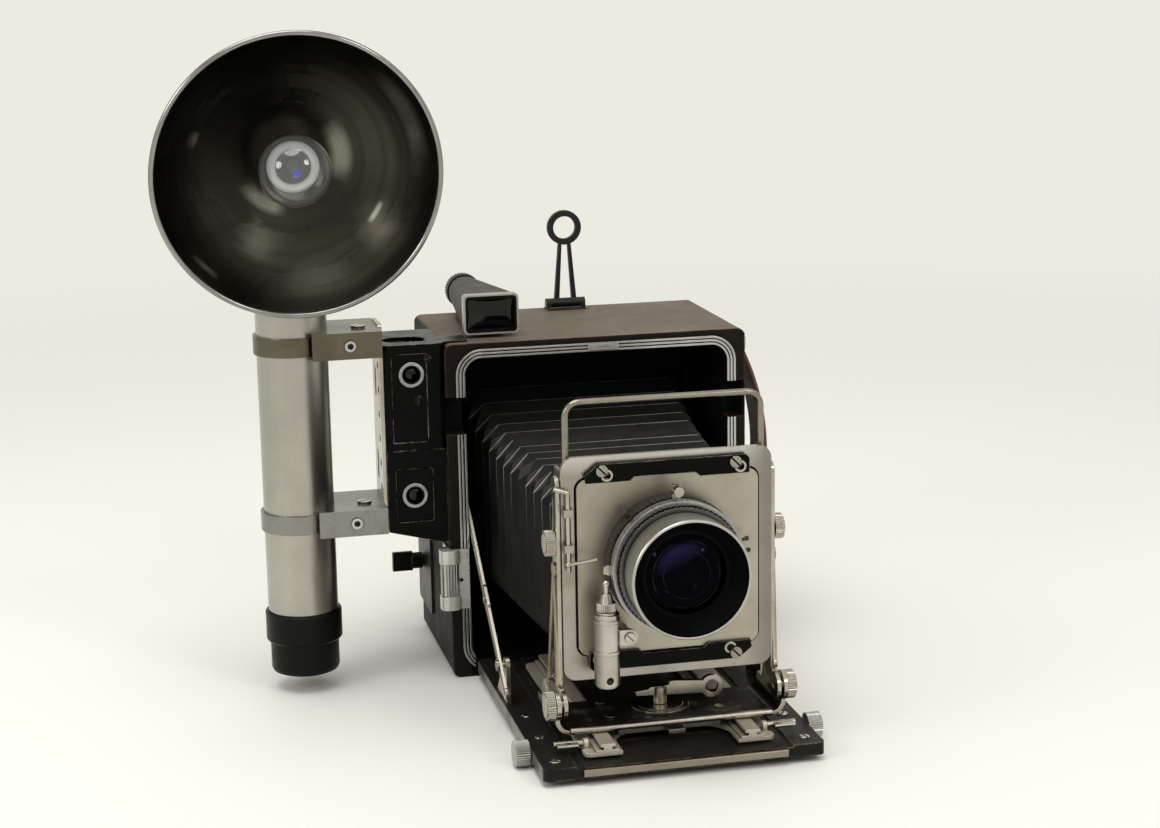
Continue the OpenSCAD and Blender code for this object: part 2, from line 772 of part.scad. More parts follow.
module focus_pinion() color("#8a8880") {
    knob_x = bed_w / 2 + 0.6;
    rod_x(pinion_shaft_r, -knob_x - 1, knob_x + 1, pinion_y, pinion_z);
    for (s = sides) on_side(s) {
        along_x(rail_x - pinion_w / 2, rail_x + pinion_w / 2)
            translate([pinion_y, pinion_z]) pinion_outline();
        along_x(knob_x, knob_x + focus_knob_l) translate([pinion_y, pinion_z]) ribs(focus_knob_r, 34, 0.5);
    }
}

// Standard

// Cross-section of the base: a flat floor that bends up into low sides
module base_section() difference() {
    tall = 4 * base_bend_r;
    translate([0, base_z + tall / 2]) rounded_rect(base_w, tall, base_bend_r);
    translate([0, base_z + base_t + tall / 2]) rounded_rect(base_w - 2 * ear_t, tall, base_bend_r - base_t);
    translate([-base_w, base_z + base_side_h]) square([2 * base_w, tall]);
}

// Ear: a round end at the tilt screw that sweeps back to a raised tail
module ear_outline() {
    low = base_z + base_side_h - 1;
    translate([tilt_y, tilt_z]) circle(ear_r);
    polygon([[tilt_y - ear_r + 1, tilt_z], [tilt_y - 3, low], [tilt_y + 30, low], [tilt_y + 27, tilt_z + 3],
        [tilt_y + 23, tilt_z + 6], [tilt_y + 19, tilt_z + 4], [tilt_y + 15, tilt_z - 1],
        [tilt_y + 10, tilt_z - 3],
        [tilt_y + ear_r - 1, tilt_z]]);
}

module standard_base() color("#b9b2a2") {
    top = base_z + base_t;
    difference() {
        union() {
            along_y(base_front, base_rear) base_section();
            rod_x(base_t * 0.9, base_bend_r - base_w / 2, base_w / 2 - base_bend_r, base_front,
                base_z + base_t * 0.9);
            for (s = sides) on_side(s) {
                along_x(ear_x, ear_x + ear_t) ear_outline();
                jaw();
                for (y = [std_y + 8, std_y + 28]) rod_z(2.2, top - 0.1, top + 0.9, 27, y);
            }
            block([-25, 25], [base_front + 4, base_front + 14], [rail_z + 0.5, base_z + 0.1]);
            block([-2, 6], [base_front - 2, base_front + 5], [rail_z + 0.6, rail_z + 2.6]);
            rod_z(disc_r, top - 0.1, top + disc_t, 0, lever_y);
            rod_z(disc_r - 3, top, top + disc_t + 0.2, 0, lever_y);
            rod_z(lever_post_r, base_z, top + disc_t + 9, 0, lever_y);
        }
        rod_x(lock_screw_r + run, -base_w, base_w, tilt_y, tilt_z);
    }
}

// Jaw that runs along the outer side of a rail head
module jaw() {
    x0 = rail_x + rail_head_w / 2 + gap;
    block([x0, x0 + 2.5], [base_front + 6, base_rear - 4], [rail_top - rail_head_t, base_z + 0.1]);
}

module standard_lock() color("#d0cbbd") {
    z0 = base_z + base_t + disc_t + 0.2 + gap;
    ring_x = lever_ring[0];
    ring_z = lever_ring[1];
    difference() {
        union() {
            rod_z(lever_post_r + 1.3, z0, z0 + 8, 0, lever_y);
            along_y(lever_y - 1.25, lever_y + 1.25) {
                polygon([[-12, ring_z - 1.4], [ring_x, ring_z - 3], [ring_x, ring_z + 3], [7, ring_z + 4.6],
                    [5, ring_z + 4.4], [4.2, ring_z + 2.6], [-5, ring_z + 2.2], [-6, ring_z + 1.3],
                    [-12.5, ring_z + 0.7]]);
                translate([ring_x, ring_z]) circle(5.6);
            }
        }
        rod_y(3.3, lever_y - 5, lever_y + 5, ring_x, ring_z);
        rod_z(lever_post_r + run, z0 - 1, z0 + 12, 0, lever_y);
    }
}

// Side arms: an upright with the rise slot, and two outer straps that spread towards the base
module standard_arms() color("#a8987a") for (s = sides) on_side(s) difference() {
    top_z = rise_z + 32;
    peak = [rise_y, rise_z - 13];
    union() {
        along_x(arm_x, arm_x + arm_t) {
            bar([rise_y, tilt_z + 6], [rise_y, top_z - arm_w / 2], arm_w);
            bar([rise_y, tilt_z + 6], [tilt_y, tilt_z], arm_w - 1);
            translate([tilt_y, tilt_z]) circle(6.4);
        }
        along_x(arm_x + arm_t / 2, arm_x + arm_t + strap_out) {
            for (foot = [[rise_y + 15, tilt_z + 7], [rise_y - 4, tilt_z + 9.5]]) {
                strip_between(peak, foot, 3.4);
                translate(foot) circle(2.5);
            }
            translate(peak) circle(3.6);
        }
    }
    rod_x(lock_screw_r + run, arm_x - 1, arm_x + arm_t + strap_out + 1, tilt_y, tilt_z);
    along_x(arm_x - 1, arm_x + arm_t + strap_out + 1)
        bar([rise_y, rise_z], [rise_y, rise_z + rise_travel], 2 * (lock_screw_r + 0.2));
}

// Lock knob: screw from x0 to the knob, finely ribbed head with a turned face
module lock_knob(s, x0, x1, y, z, r, l) color("#c2baa6") on_side(s) {
    rod_x(lock_screw_r, x0, x1 + 1, y, z);
    along_x(x1, x1 + l) translate([y, z]) ribs(r, 36, 0.45);
    rod_x(r - 1.2, x1, x1 + l + 0.4, y, z);
}

module tilt_knob(s) lock_knob(s, arm_x + 0.1, ear_x + ear_t + gap, tilt_y, tilt_z, tilt_knob_r, 4);
module rise_knob(s)
    lock_knob(s, frame_w / 2 - flange_t + 0.1, arm_x + arm_t + gap, rise_y, rise_z, rise_knob_r, 4.4);

// Position of the studs of the two sliding locks
function stud(sx, upper) = [sx * slide_stud_x, board_mid + (upper ? 1 : -1) * (board_h / 2 + 4.2)];

// Stud head with a slot for a screwdriver
module stud_head(p) difference() {
    rod_y(2.8, slide_y - 1.3, slide_y - gap, p[0], p[1]);
    translate([p[0], slide_y - 1.3, p[1]]) rotate([0, 45, 0]) cube([7, 0.8, 0.8], center = true);
}

module lens_frame() color("#cfc8b8") difference() {
    union() {
        along_y(std_y, std_y + plate_t) translate([0, frame_mid]) rounded_rect(frame_w, frame_h, frame_r);
        for (s = sides) on_side(s) {
            block([frame_w / 2 - flange_t, frame_w / 2], [std_y + 1, std_y + flange_d],
                [frame_z + frame_r, frame_z + frame_h - frame_r]);
            for (z = [frame_z + 44, frame_z + 90])
                block([guide_x, frame_w / 2 - 0.5], [std_y + 1, wire_y + wire_r + guide_wall], [z, z + 9]);
        }
        for (sx = sides, up = [true, false]) {
            p = stud(sx, up);
            rod_y(slide_stud_r, slide_y - 1, std_y + 1, p[0], p[1]);
            stud_head(p);
        }
        for (z = [axis_z + 6.5, axis_z + 23.3])
            block([link_x - 2.2, link_x + 2.2], [link_y - 2, std_y + 1], [z, z + 3.5]);
    }
    along_y(std_y - 1, std_y + board_t - board_proud) translate([0, board_mid])
        rounded_rect(board_w + 2 * board_room, board_h + 2 * board_room, 5.5);
    along_y(std_y, std_y + plate_t + 1) translate([0, film_z]) square([window_w, window_h], center = true);
    for (s = sides) on_side(s) {
        rod_x(lock_screw_r + run, frame_w / 2 - flange_t - 1, frame_w / 2 + 1, rise_y, rise_z);
        rod_z(wire_r + run, frame_z + 30, frame_z + frame_h + 1, wire_x, wire_y);
    }
    rod_z(link_r + run, axis_z - 6, axis_z + 40, link_x, link_y);
}

module lens_board() color("#d2cab9") difference() {
    along_y(board_y, board_y + board_t) translate([0, board_mid]) rounded_rect(board_w, board_h, 5);
    on_axis(-board_t - 1) cylinder(r = tail_r + run, h = board_t + 2);
}

// Sliding lock: a stepped plate with two slanting slots that run on the studs
module board_lock(upper) color("#141414") {
    up = upper ? 1 : -1;
    edge = board_mid + up * (board_h / 2 - 1.5);
    far = board_mid + up * (board_h / 2 + 7.2);
    along_y(slide_y, slide_y + slide_t) difference() {
        polygon([[-up * 39.5, edge], [-up * 40, edge + up * 3.6], [-up * 33.5, far], [up * 37.4, far],
            [up * 39, far - up * 1.6], [up * 39, edge], [up * 15, edge], [up * 13, edge + up * 2],
            [-up * 16.5, edge + up * 2], [-up * 18.5, edge]]);
        for (sx = sides) {
            p = stud(sx, upper);
            bar(p, p + up * [slide_travel * 0.7071, -slide_travel * 0.7071], 2 * (slide_stud_r + 0.3));
        }
    }
}

module wire_finder() color("#c8c4ba") {
    leg_z = wire_top - wire_bend;
    for (s = sides) on_side(s) {
        rod_z(wire_r, wire_top - wire_leg, leg_z, wire_x, wire_y);
        translate([wire_x - wire_bend, wire_y, leg_z]) rotate([90, 0, 0])
            rotate_extrude(angle = 90) translate([wire_bend, 0]) circle(wire_r, $fn = 24);
    }
    rod_x(wire_r, -wire_x + wire_bend, wire_x - wire_bend, wire_y, wire_top);
}

// Release rod: turns in two clamps, with a bent crank above and a link to the shutter below
module release_rod() color("#b8b3a6") {
    bottom = [link_x, link_y, axis_z - 3];
    start = [link_x, link_y, axis_z + 0.5];
    bend = [link_x, link_y, axis_z + 34.5];
    rod(bottom, bend, link_r);
    translate(bend) sphere(link_r);
    rod(bend, bend + [-6.8, 0, 2.4], link_r);
    translate(start) sphere(link_r + 0.5);
    rod(start, [link_x + 10.8, solenoid_y, link_z + 1], 0.9);
}

// Lens and shutter

module shutter_case() color("#3a3936") on_axis() difference() {
    union() {
        cylinder(r = shutter_r - 1, h = shutter_d);
        translate([0, 0, shutter_d * 0.6]) linear_extrude(shutter_d * 0.4) ribs(shutter_r, 72, 0.5);
        cylinder(r = core_r, h = barrel_at);
        translate([0, 0, -board_t - 7]) cylinder(r = tail_r, h = board_t + 8);
        translate([0, 0, -board_t - 2.6]) cylinder(r = tail_r + 3.5, h = 2.5);
    }
    translate([0, 0, -board_t - 8]) cylinder(r = light_r, h = board_t + 14);
    translate([0, 0, 7]) cylinder(r = light_r, h = barrel_at);
    translate([0, 0, -1]) cylinder(r = light_r * 0.5, h = 10);
}

// Speed ring: a plain index band behind a narrower ribbed band
module shutter_ring() color("#bdbab2") on_axis(ring_at) difference() {
    union() {
        cylinder(r = shutter_r - 0.4, h = ring_band);
        linear_extrude(ring_d) ribs(shutter_r - 1.8, 72, 0.5);
    }
    translate([0, 0, -1]) cylinder(r = core_r + run, h = ring_d + 2);
}

// Shutter lever: a collar segment round the core with a tab
module lever(angle, spread, reach, pin_l) on_axis(shutter_d + gap) rotate(angle) {
    linear_extrude(lever_t) {
        intersection() {
            difference() {
                circle(shutter_r - 1);
                circle(core_r + run);
            }
            polygon([[0, 0], [reach, -reach * tan(spread)], [reach, reach * tan(spread)]]);
        }
        translate([shutter_r - 2, -1.8]) square([reach - shutter_r + 2, 3.6]);
    }
    translate([reach - 2.4, 0, 0]) cylinder(r = 2.3, h = pin_l);
}

module cocking_lever() color("#c6c2b6") lever(90, 16, 38, 7);
module release_arm() color("#c6c2b6") lever(180, 12, 34.6, lever_t);

// Front barrel: a ribbed foot, a straight polished tube and a black-lined cone inside
module lens_barrel() color("#d4cec0") on_axis(barrel_at) {
    foot_r = core_r + 1;
    linear_extrude(1.6) difference() {
        ribs(foot_r + 2.6, 72, 0.5);
        circle(foot_r - 0.5);
    }
    rotate_extrude($fn = 72) polygon([
        [light_r - run, -4], [light_r - run, 0], [foot_r, 0], [foot_r, 2.2], [foot_r + 0.4, 2.8],
        [barrel_r - 0.3, barrel_l - 3], [barrel_r, barrel_l - 2.6], [barrel_r, barrel_l - 0.5],
        [barrel_r - 0.5, barrel_l],
        [barrel_r - 1.2, barrel_l], [barrel_r - 1.8, barrel_l - 1.5], [glass_r + 1.6, barrel_l - 10],
        [glass_r, barrel_l - 10], [glass_r, barrel_l - 15], [glass_r - 4, barrel_l - 15], [glass_r - 4, -4]]);
}

module lens_glass() color("#303060", 0.6) {
    on_axis(rim_at - 15) intersection() {
        cylinder(r = glass_r - run, h = 8);
        translate([0, 0, 7 - 62]) sphere(62, $fn = 72);
    }
    on_axis(-board_t - 5) cylinder(r = light_r - run, h = 4);
}

// Flash solenoid: a banded tube with a ribbed nut and cone, held by a lug and a post on the lens board
module solenoid_body() color("#c9c6bd") difference() {
    z1 = solenoid_z + solenoid_l;
    union() {
        rod_z(solenoid_r, solenoid_z + 1, z1, solenoid_x, solenoid_y);
        rod_z(solenoid_r - 0.8, solenoid_z, z1 + 1, solenoid_x, solenoid_y);
        for (z = [solenoid_z + 16, z1 - 4]) rod_z(solenoid_r + 0.4, z, z + 1.6, solenoid_x, solenoid_y);
        along_z(z1, z1 + nut_h * 0.55) translate([solenoid_x, solenoid_y]) ribs(4.6, 28, 0.4);
        translate([solenoid_x, solenoid_y, z1 + nut_h * 0.55]) cylinder(r1 = 3.7, r2 = 2.3, h = nut_h * 0.45);
        along_y(solenoid_y - 2, solenoid_y + 0.6) bar([solenoid_x, lug_z], [lug_end, lug_z], 7.5);
        rod_y(2.6, solenoid_y - 1, board_y, lug_end, lug_z);
        rod_y(2.4, solenoid_y - 3.2, solenoid_y - 1.9, lug_end, lug_z);
    }
    rod_z(plunger_r + run, z1 - 12, z1 + nut_h + 1, solenoid_x, solenoid_y);
    rod_y(1.8, solenoid_y - solenoid_r - 1, solenoid_y, solenoid_x, solenoid_z + 4);
    translate([lug_end, solenoid_y - 3.2, lug_z]) rotate([0, 45, 0]) cube([7, 0.9, 0.7], center = true);
}

module solenoid_plunger() color("#a9a49a") {
    rod_z(plunger_r, solenoid_z + solenoid_l - 9, plunger_top, solenoid_x, solenoid_y);
    translate([solenoid_x, solenoid_y, plunger_top]) sphere(plunger_ball_r);
}

// Bellows: rings of an eight-sided outline from the film end to the lens end. The sides are at a ridge where
// the top and bottom are at a valley, so that the corners fold over in a zigzag.

bellows_w1 = guide_x + 1;
bellows_y0 = front + well_d;
bellows_y1 = std_y + plate_t;
bellows_rings = 2 * pleats;
corner_x = 1.5;
corner_z = 6;
function side_fold(i) = i % 2 == 0 ? 0 : pleat_d;
function top_fold(i) = pleat_d - side_fold(i);
function left_over(i) = 1 - i / (bellows_rings - 1);
function ring_w(i) = bellows_w1 + (bellows_w0 - bellows_w1) * left_over(i) - side_fold(i);
function ring_up(i) = bellows_up1 + (bellows_up0 - bellows_up1) * pow(left_over(i), 5.5) - top_fold(i);
function ring_down(i) = top_fold(i) - bellows_down;
function ring_y(i) = bellows_y0 + (bellows_y1 - bellows_y0) * i / (bellows_rings - 1);
function octagon(w, up, down, cx, cz) = [[w, down + cz], [w, up - cz], [w - cx, up], [-w + cx, up],
    [-w, up - cz], [-w, down + cz], [-w + cx, down], [w - cx, down]];
function ring_points(i, inset) =
    [for (p = octagon(ring_w(i) - inset, ring_up(i) - inset, ring_down(i) + inset, corner_x, corner_z))
        [p[0], ring_y(i), axis_z + p[1]]];

// Two triangles for each side of the outline; at a corner the crease runs from ridge to ridge
function crease_turns(i, k) = (k == 1 || k == 5) && i % 2 == 1 || (k == 3 || k == 7) && i % 2 == 0;
function panel(a, b, k, n, turned) = turned ? [[a + k, b + k, a + n], [b + k, b + n, a + n]]
    : [[a + k, b + k, b + n], [a + k, b + n, a + n]];
function strip(a, b, i) = [for (k = [0 : 7]) each panel(a, b, k, (k + 1) % 8, crease_turns(i, k))];

module bellows() color("#1c1c1e") {
    last = bellows_rings - 1;
    inner = 8 * bellows_rings;
    polyhedron(
        points = concat([for (i = [0 : last]) each ring_points(i, 0)],
            [for (i = [0 : last]) each ring_points(i, bellows_t)]),
        faces = concat(
            [for (i = [0 : last - 1]) each strip(8 * i, 8 * (i + 1), i)],
            [for (i = [0 : last - 1]) each strip(inner + 8 * (i + 1), inner + 8 * i, i + 1)],
            strip(inner, 0, 0), strip(8 * last, inner + 8 * last, 0)));
}

// Rangefinder on the left side of the case

module range_outline() translate([(range_x0 + range_x1) / 2, range_y0 + range_d / 2])
    rounded_rect(range_w, range_d, 2.5);

// The sloping underside, as a wedge to cut away
module range_slope(y0, y1) along_y(y0, y1)
    polygon([[range_x0 - 1, range_z0 - 1], [range_x1 + 1, range_z0 - 1], [range_x0 - 1, range_z0 + 7.5]]);

module rangefinder_housing() color("#131313") difference() {
    union() {
        along_z(range_z0, range_z1) range_outline();
        along_z(case_h, range_z1) translate([range_x1 + 4, range_y0 + 12]) rounded_rect(19, 16, 2);
    }
    range_slope(range_y0 - 1, range_y0 + range_d + 1);
    for (z = [window_z, window_z - range_base])
        rod_y(window_r + ring_wall + run, range_y0 - 1, range_y0 + 8, range_mid, z);
    block([range_x0 - 1, range_x1 + 1], [range_y0 - 1, range_y0 + cover_t],
        [range_z0 - 1, range_z0 + range_cover_h]);
    block([range_x0 + 4, range_x1 - 9], [range_y0 - 1, range_y0 + 0.6],
        [range_z0 + range_cover_h + 4, range_z1 - 5]);
    along_z(range_z1 - 2.4, range_z1 + 1) translate([(range_x0 + range_x1) / 2 - 2, range_y0 + 16]) {
        bar([-4.5, 0], [3, 0], 15);
        polygon([[0, -7.5], [10.5, -7.5], [7, 0], [9, 4], [0, 7.5]]);
    }
}

module rangefinder_cover() color("#181818") difference() {
    block([range_x0, range_x1], [range_y0, range_y0 + cover_t], [range_z0, range_z0 + range_cover_h - gap]);
    range_slope(range_y0 - 1, range_y0 + cover_t + 1);
    along_y(range_y0 - 1, range_y0 + cover_t + 1)
        translate([range_mid, window_z - range_base]) rounded_rect(19, 28, 1.5);
}

// Ring with a lip outside and a sleeve in the housing
module window_ring(y, z) difference() {
    union() {
        rod_y(window_r + ring_wall + ring_lip, y - 1.4, y, range_mid, z);
        rod_y(window_r + ring_wall, y, range_y0 + 6, range_mid, z);
    }
    rod_y(window_r, y - 2, range_y0 + 7, range_mid, z);
}

module rangefinder_rings() color("silver") {
    window_ring(range_y0 + 0.6, window_z);
    window_ring(range_y0 + cover_t, window_z - range_base);
}

module finder_windows() color("#405060", 0.5) {
    for (z = [window_z, window_z - range_base])
        rod_y(window_r - run, range_y0 + 1.6, range_y0 + 3, range_mid, z);
    along_y(finder_y0 + 2.4, finder_y0 + 3.8) translate([-finder_x, finder_z])
        rounded_rect(bezel_w - bezel_side - 2 * run, bezel_h - bezel_top - 2 * run, 1);
}

// Tubular finder

module viewfinder_body() color("#26241f") {
    y0 = finder_y0 + bezel_d;
    y1 = y0 + finder_l;
    difference() {
        union() {
            hull() {
                block([-finder_x - bezel_w / 2 + 1, -finder_x + bezel_w / 2 - 1], [y0, y0 + 1],
                    [finder_z - bezel_h / 2 + 1, finder_z + bezel_h / 2 - 1]);
                rod_y(eyepiece_r - 1, y1 - 12, y1, -finder_x, finder_z, $fn = 32);
            }
            block([-finder_x - 8, -finder_x + 8], [y0 + 10, y1 - 18], [case_h, finder_z - bezel_h / 2 + 3]);
        }
        rod_y(spigot_r + run, y1 - 6, y1 + 1, -finder_x, finder_z);
    }
}

module viewfinder_bezel() color("silver")
    along_y(finder_y0, finder_y0 + bezel_d) translate([-finder_x, finder_z])
    difference() {
        rounded_rect(bezel_w, bezel_h, 2);
        rounded_rect(bezel_w - bezel_side, bezel_h - bezel_top, 1);
    }

module viewfinder_eyepiece() color("#1d1c1a") {
    y = finder_y0 + bezel_d + finder_l;
    difference() {
        union() {
            along_y(y + gap, y + gap + eyepiece_l) translate([-finder_x, finder_z])
                ribs(eyepiece_r, 36, 0.5);
            rod_y(spigot_r, y - 5.5, y + 1, -finder_x, finder_z);
        }
        rod_y(eyepiece_hole, y - 6, y + eyepiece_l + 1, -finder_x, finder_z);
    }
}

// Peep sight

module peep_bracket() color("#1a1a1a") {
    half = 11;
    block([peep_x - half, peep_x + half], [peep_y - 5, peep_y + 5], [case_h, case_h + 0.8]);
    for (s = sides) along_x(peep_x + s * (half - 1) - 1, peep_x + s * (half - 1) + 1) {
        translate([peep_y, peep_pin_z]) circle(2.6);
        translate([peep_y - 2.6, case_h]) square([5.2, peep_pin_z - case_h]);
    }
    rod_x(peep_pin_r, peep_x - half, peep_x + half, peep_y, peep_pin_z);
}

module peep_sight() color("#141414") difference() {
    ring_z = case_h + peep_h;
    union() {
        along_y(peep_y - peep_t / 2, peep_y + peep_t / 2) {
            translate([peep_x, ring_z]) circle(peep_r);
            for (s = sides) translate([peep_x, 0])
                polygon([[s * 3.6, peep_pin_z], [s * 6.4, peep_pin_z], [s * 3.4, ring_z - peep_r + 1.5],
                    [s * 1.6, ring_z - peep_r + 1.5]]);
        }
        rod_x(peep_hub_r, peep_x - 8.6, peep_x + 8.6, peep_y, peep_pin_z);
    }
    rod_y(peep_r - 3.3, peep_y - 5, peep_y + 5, peep_x, ring_z);
    rod_x(peep_pin_r + run, peep_x - 20, peep_x + 20, peep_y, peep_pin_z);
}

// Flash

module flash_bracket() color("#c4beb0") {
    mid_y = range_y0 + 14;
    difference() {
        along_x(bracket_x, range_x0) translate([mid_y, (bracket_z0 + bracket_z1) / 2])
            rounded_rect(bracket_w, bracket_z1 - bracket_z0, 3);
        for (i = [0 : 5]) rod_x(2, bracket_x - 1, range_x0 + 1, mid_y - 6,
            bracket_z0 + 22 + i * (bracket_z1 - bracket_z0 - 44) / 5);
        along_x(bracket_x - 1, range_x0 + 1) for (z = [bracket_z0 + 32, bracket_z1 - 32])
            bar([mid_y + 4, z - 6], [mid_y + 4, z + 6], 4);
    }
}

// Clamp: a band round the tube, held in a folded box that is open below
module flash_clamp(z) difference() {
    x0 = -flash_x + clamp_reach;
    top = z + clamp_h;
    y0 = flash_y - clamp_half;
    screw_x = -flash_x + 27;
    union() {
        rod_z(tube_r + clamp_t, z + band_inset, top - band_inset, -flash_x, flash_y);
        difference() {
            block([x0, bracket_x], [y0, flash_y + clamp_half], [z, top]);
            block([x0 + clamp_t, bracket_x - clamp_t], [y0 + clamp_t, flash_y + clamp_half - clamp_t],
                [z - 1, top - clamp_t]);
        }
        rod_y(2.8, y0 - 1.2, y0 + 0.5, screw_x, z + clamp_h / 2);
        rod_z(3.6, top - 0.5, top + 1.2, screw_x + 6, flash_y - 6);
    }
    rod_z(tube_r + run, z - 1, top + 1, -flash_x, flash_y);
    rod_y(1.5, y0 - 2, y0 + 0.6, screw_x, z + clamp_h / 2);
    translate([screw_x + 6, flash_y - 6, top + 1.2]) rotate(30) cube([9, 1, 1.2], center = true);
}

module flash_clamps() color("#b3aa94") for (z = [clamp_lower, clamp_upper - clamp_h]) flash_clamp(z);

// Place a shape drawn along +Z on the tilted axis of the reflector, growing forward from the tube
module on_lamp(at = 0) translate([-flash_x, flash_y, reflector_z]) rotate([90 + reflector_tilt, 0, 0])
    translate([0, 0, at]) children();

module flash_tube() color("#bdb7ab") difference() {
    union() {
        rod_z(tube_r, tube_z, tube_top - 4, -flash_x, flash_y);
        translate([-flash_x, flash_y, tube_top - 4]) cylinder(r1 = tube_r, r2 = tube_r - 4, h = 4);
        on_lamp() cylinder(r = 14, h = bowl_at - 2);
    }
    rod_z(tube_bore, tube_z - 1, tube_top - 6, -flash_x, flash_y);
}

module flash_end_cap() color("#0f0f0f")
    translate([-flash_x, flash_y, tube_z - gap]) rotate_extrude($fn = 64) {
    body_r = tube_r - 0.4;
    polygon([[0, -cap_h], [body_r - 2.5, -cap_h], [body_r - 0.7, -cap_h + 0.8], [body_r, -cap_h + 2.6],
        [body_r, -cap_band_h], [cap_band_r - 0.8, -cap_band_h], [cap_band_r, -cap_band_h + 0.9],
        [cap_band_r, -0.9], [cap_band_r - 0.8, 0], [tube_bore - run, 0], [tube_bore - run, gap + cap_plug_h],
        [0, gap + cap_plug_h]]);
}

module batteries() color("#7a6a3a") for (i = [0 : 2])
    rod_z(cell_r, tube_z + cap_plug_h + i * (cell_l + gap), tube_z + cap_plug_h + i * (cell_l + gap) + cell_l,
        -flash_x, flash_y);

// Reflector outline turned about the bowl's axis: distance from the axis, then distance forward
module reflector_outline() {
    intersection() {
        translate([0, bowl_ball]) difference() {
            circle(bowl_ball, $fn = 96);
            circle(bowl_ball - bowl_t, $fn = 96);
        }
        square([reflector_r + 1, reflector_d]);
    }
    translate([reflector_r - 0.6, reflector_d]) circle(bead_r, $fn = 24);
    translate([0, -2]) square([15, 4]);
    translate([socket_out_r - 1.6, 0]) square([1.6, 14]);
}

module reflector() color("#8f8b84") on_lamp(bowl_at) rotate_extrude($fn = 96) reflector_outline();

module flash_bulb() color("#dfe6ee", 0.5) on_lamp(bowl_at) {
    translate([0, 0, bulb_at]) sphere(bulb_r);
    translate([0, 0, 4]) cylinder(r = socket_out_r - 1.6 - run, h = bulb_at - 4);
}

case_shell();
tripod_bush();
front_trim();
shutter_side_plate();
focal_curtain();
winding_key();
tension_roller();
release_housing();
release_bar();
strap_lugs();
hand_strap();
back_frame();
back_panel();
ground_glass();
hood_cover();
bed();
bed_edge_strip();
brace(-1);  // brace_left
brace(1);  // brace_right
focus_track();
focus_pinion();
infinity_stops();
standard_base();
standard_lock();
standard_arms();
tilt_knob(-1);  // tilt_knob_left
tilt_knob(1);  // tilt_knob_right
lens_frame();
rise_knob(-1);  // rise_knob_left
rise_knob(1);  // rise_knob_right
lens_board();
board_lock(true);  // upper_board_lock
board_lock(false);  // lower_board_lock
wire_finder();
release_rod();
shutter_case();
shutter_ring();
cocking_lever();
release_arm();
lens_barrel();
lens_glass();
solenoid_body();
solenoid_plunger();
bellows();
rangefinder_housing();
rangefinder_cover();
rangefinder_rings();
finder_windows();
viewfinder_body();
viewfinder_bezel();
viewfinder_eyepiece();
peep_bracket();
peep_sight();
flash_bracket();
flash_clamps();
flash_tube();
flash_end_cap();
batteries();
reflector();
flash_bulb();
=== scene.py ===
import json
import math
import bmesh
import bpy
from mathutils import Matrix, Vector


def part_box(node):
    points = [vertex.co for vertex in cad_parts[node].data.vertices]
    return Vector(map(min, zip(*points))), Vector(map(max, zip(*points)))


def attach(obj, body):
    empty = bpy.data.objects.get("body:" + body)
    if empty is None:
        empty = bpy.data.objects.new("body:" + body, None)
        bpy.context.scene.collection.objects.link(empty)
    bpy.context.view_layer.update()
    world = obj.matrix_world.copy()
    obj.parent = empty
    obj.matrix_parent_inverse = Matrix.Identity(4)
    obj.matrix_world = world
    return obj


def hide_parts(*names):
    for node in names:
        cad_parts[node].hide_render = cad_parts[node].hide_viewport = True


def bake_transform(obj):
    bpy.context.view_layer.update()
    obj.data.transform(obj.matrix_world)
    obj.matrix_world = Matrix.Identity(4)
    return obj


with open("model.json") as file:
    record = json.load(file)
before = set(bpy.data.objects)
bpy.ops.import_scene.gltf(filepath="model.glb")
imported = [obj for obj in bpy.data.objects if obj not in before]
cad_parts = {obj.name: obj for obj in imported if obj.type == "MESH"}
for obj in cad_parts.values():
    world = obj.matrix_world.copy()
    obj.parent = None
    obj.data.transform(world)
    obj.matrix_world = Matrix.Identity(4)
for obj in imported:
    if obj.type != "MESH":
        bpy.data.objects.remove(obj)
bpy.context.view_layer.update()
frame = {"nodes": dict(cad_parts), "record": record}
nodes = frame["nodes"]
scene = bpy.context.scene
MM = 0.001
UP = Vector((0, 0, 1))
FORWARD = Vector((0, -1, 0))
ACROSS = Vector((1, 0, 0))
SQUARE = ((-1, -1), (1, -1), (1, 1), (-1, 1))

# Places taken from the frame, in metres


def middle(node):
    low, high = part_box(node)
    return (low + high) / 2


def half_wide(node):
    low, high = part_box(node)
    return (high.x - low.x) / 2


case_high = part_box("case_shell")[1]
trim_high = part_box("front_trim")[1]
case_front = trim_high.y
board_low, board_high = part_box("lens_board")
lock_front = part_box("upper_board_lock")[0].y
frame_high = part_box("lens_frame")[1]
ring_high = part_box("shutter_ring")[1]
ring_radius = half_wide("shutter_ring")
lens_axis = middle("shutter_ring")
barrel_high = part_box("lens_barrel")[1]
bed_low, bed_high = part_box("bed")
base_low, base_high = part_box("standard_base")
arms_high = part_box("standard_arms")[1]
range_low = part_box("rangefinder_housing")[0]
rings_low, rings_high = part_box("rangefinder_rings")
bezel_low, bezel_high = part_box("viewfinder_bezel")
bowl_radius = half_wide("reflector")
bulb_low, bulb_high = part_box("flash_bulb")
bulb_radius = (bulb_high.z - bulb_low.z) / 2
bulb_centre = Vector((middle("flash_bulb").x, bulb_low.y + bulb_radius, middle("flash_bulb").z))

# Sizes of details that the boxes don't give, as in the solids

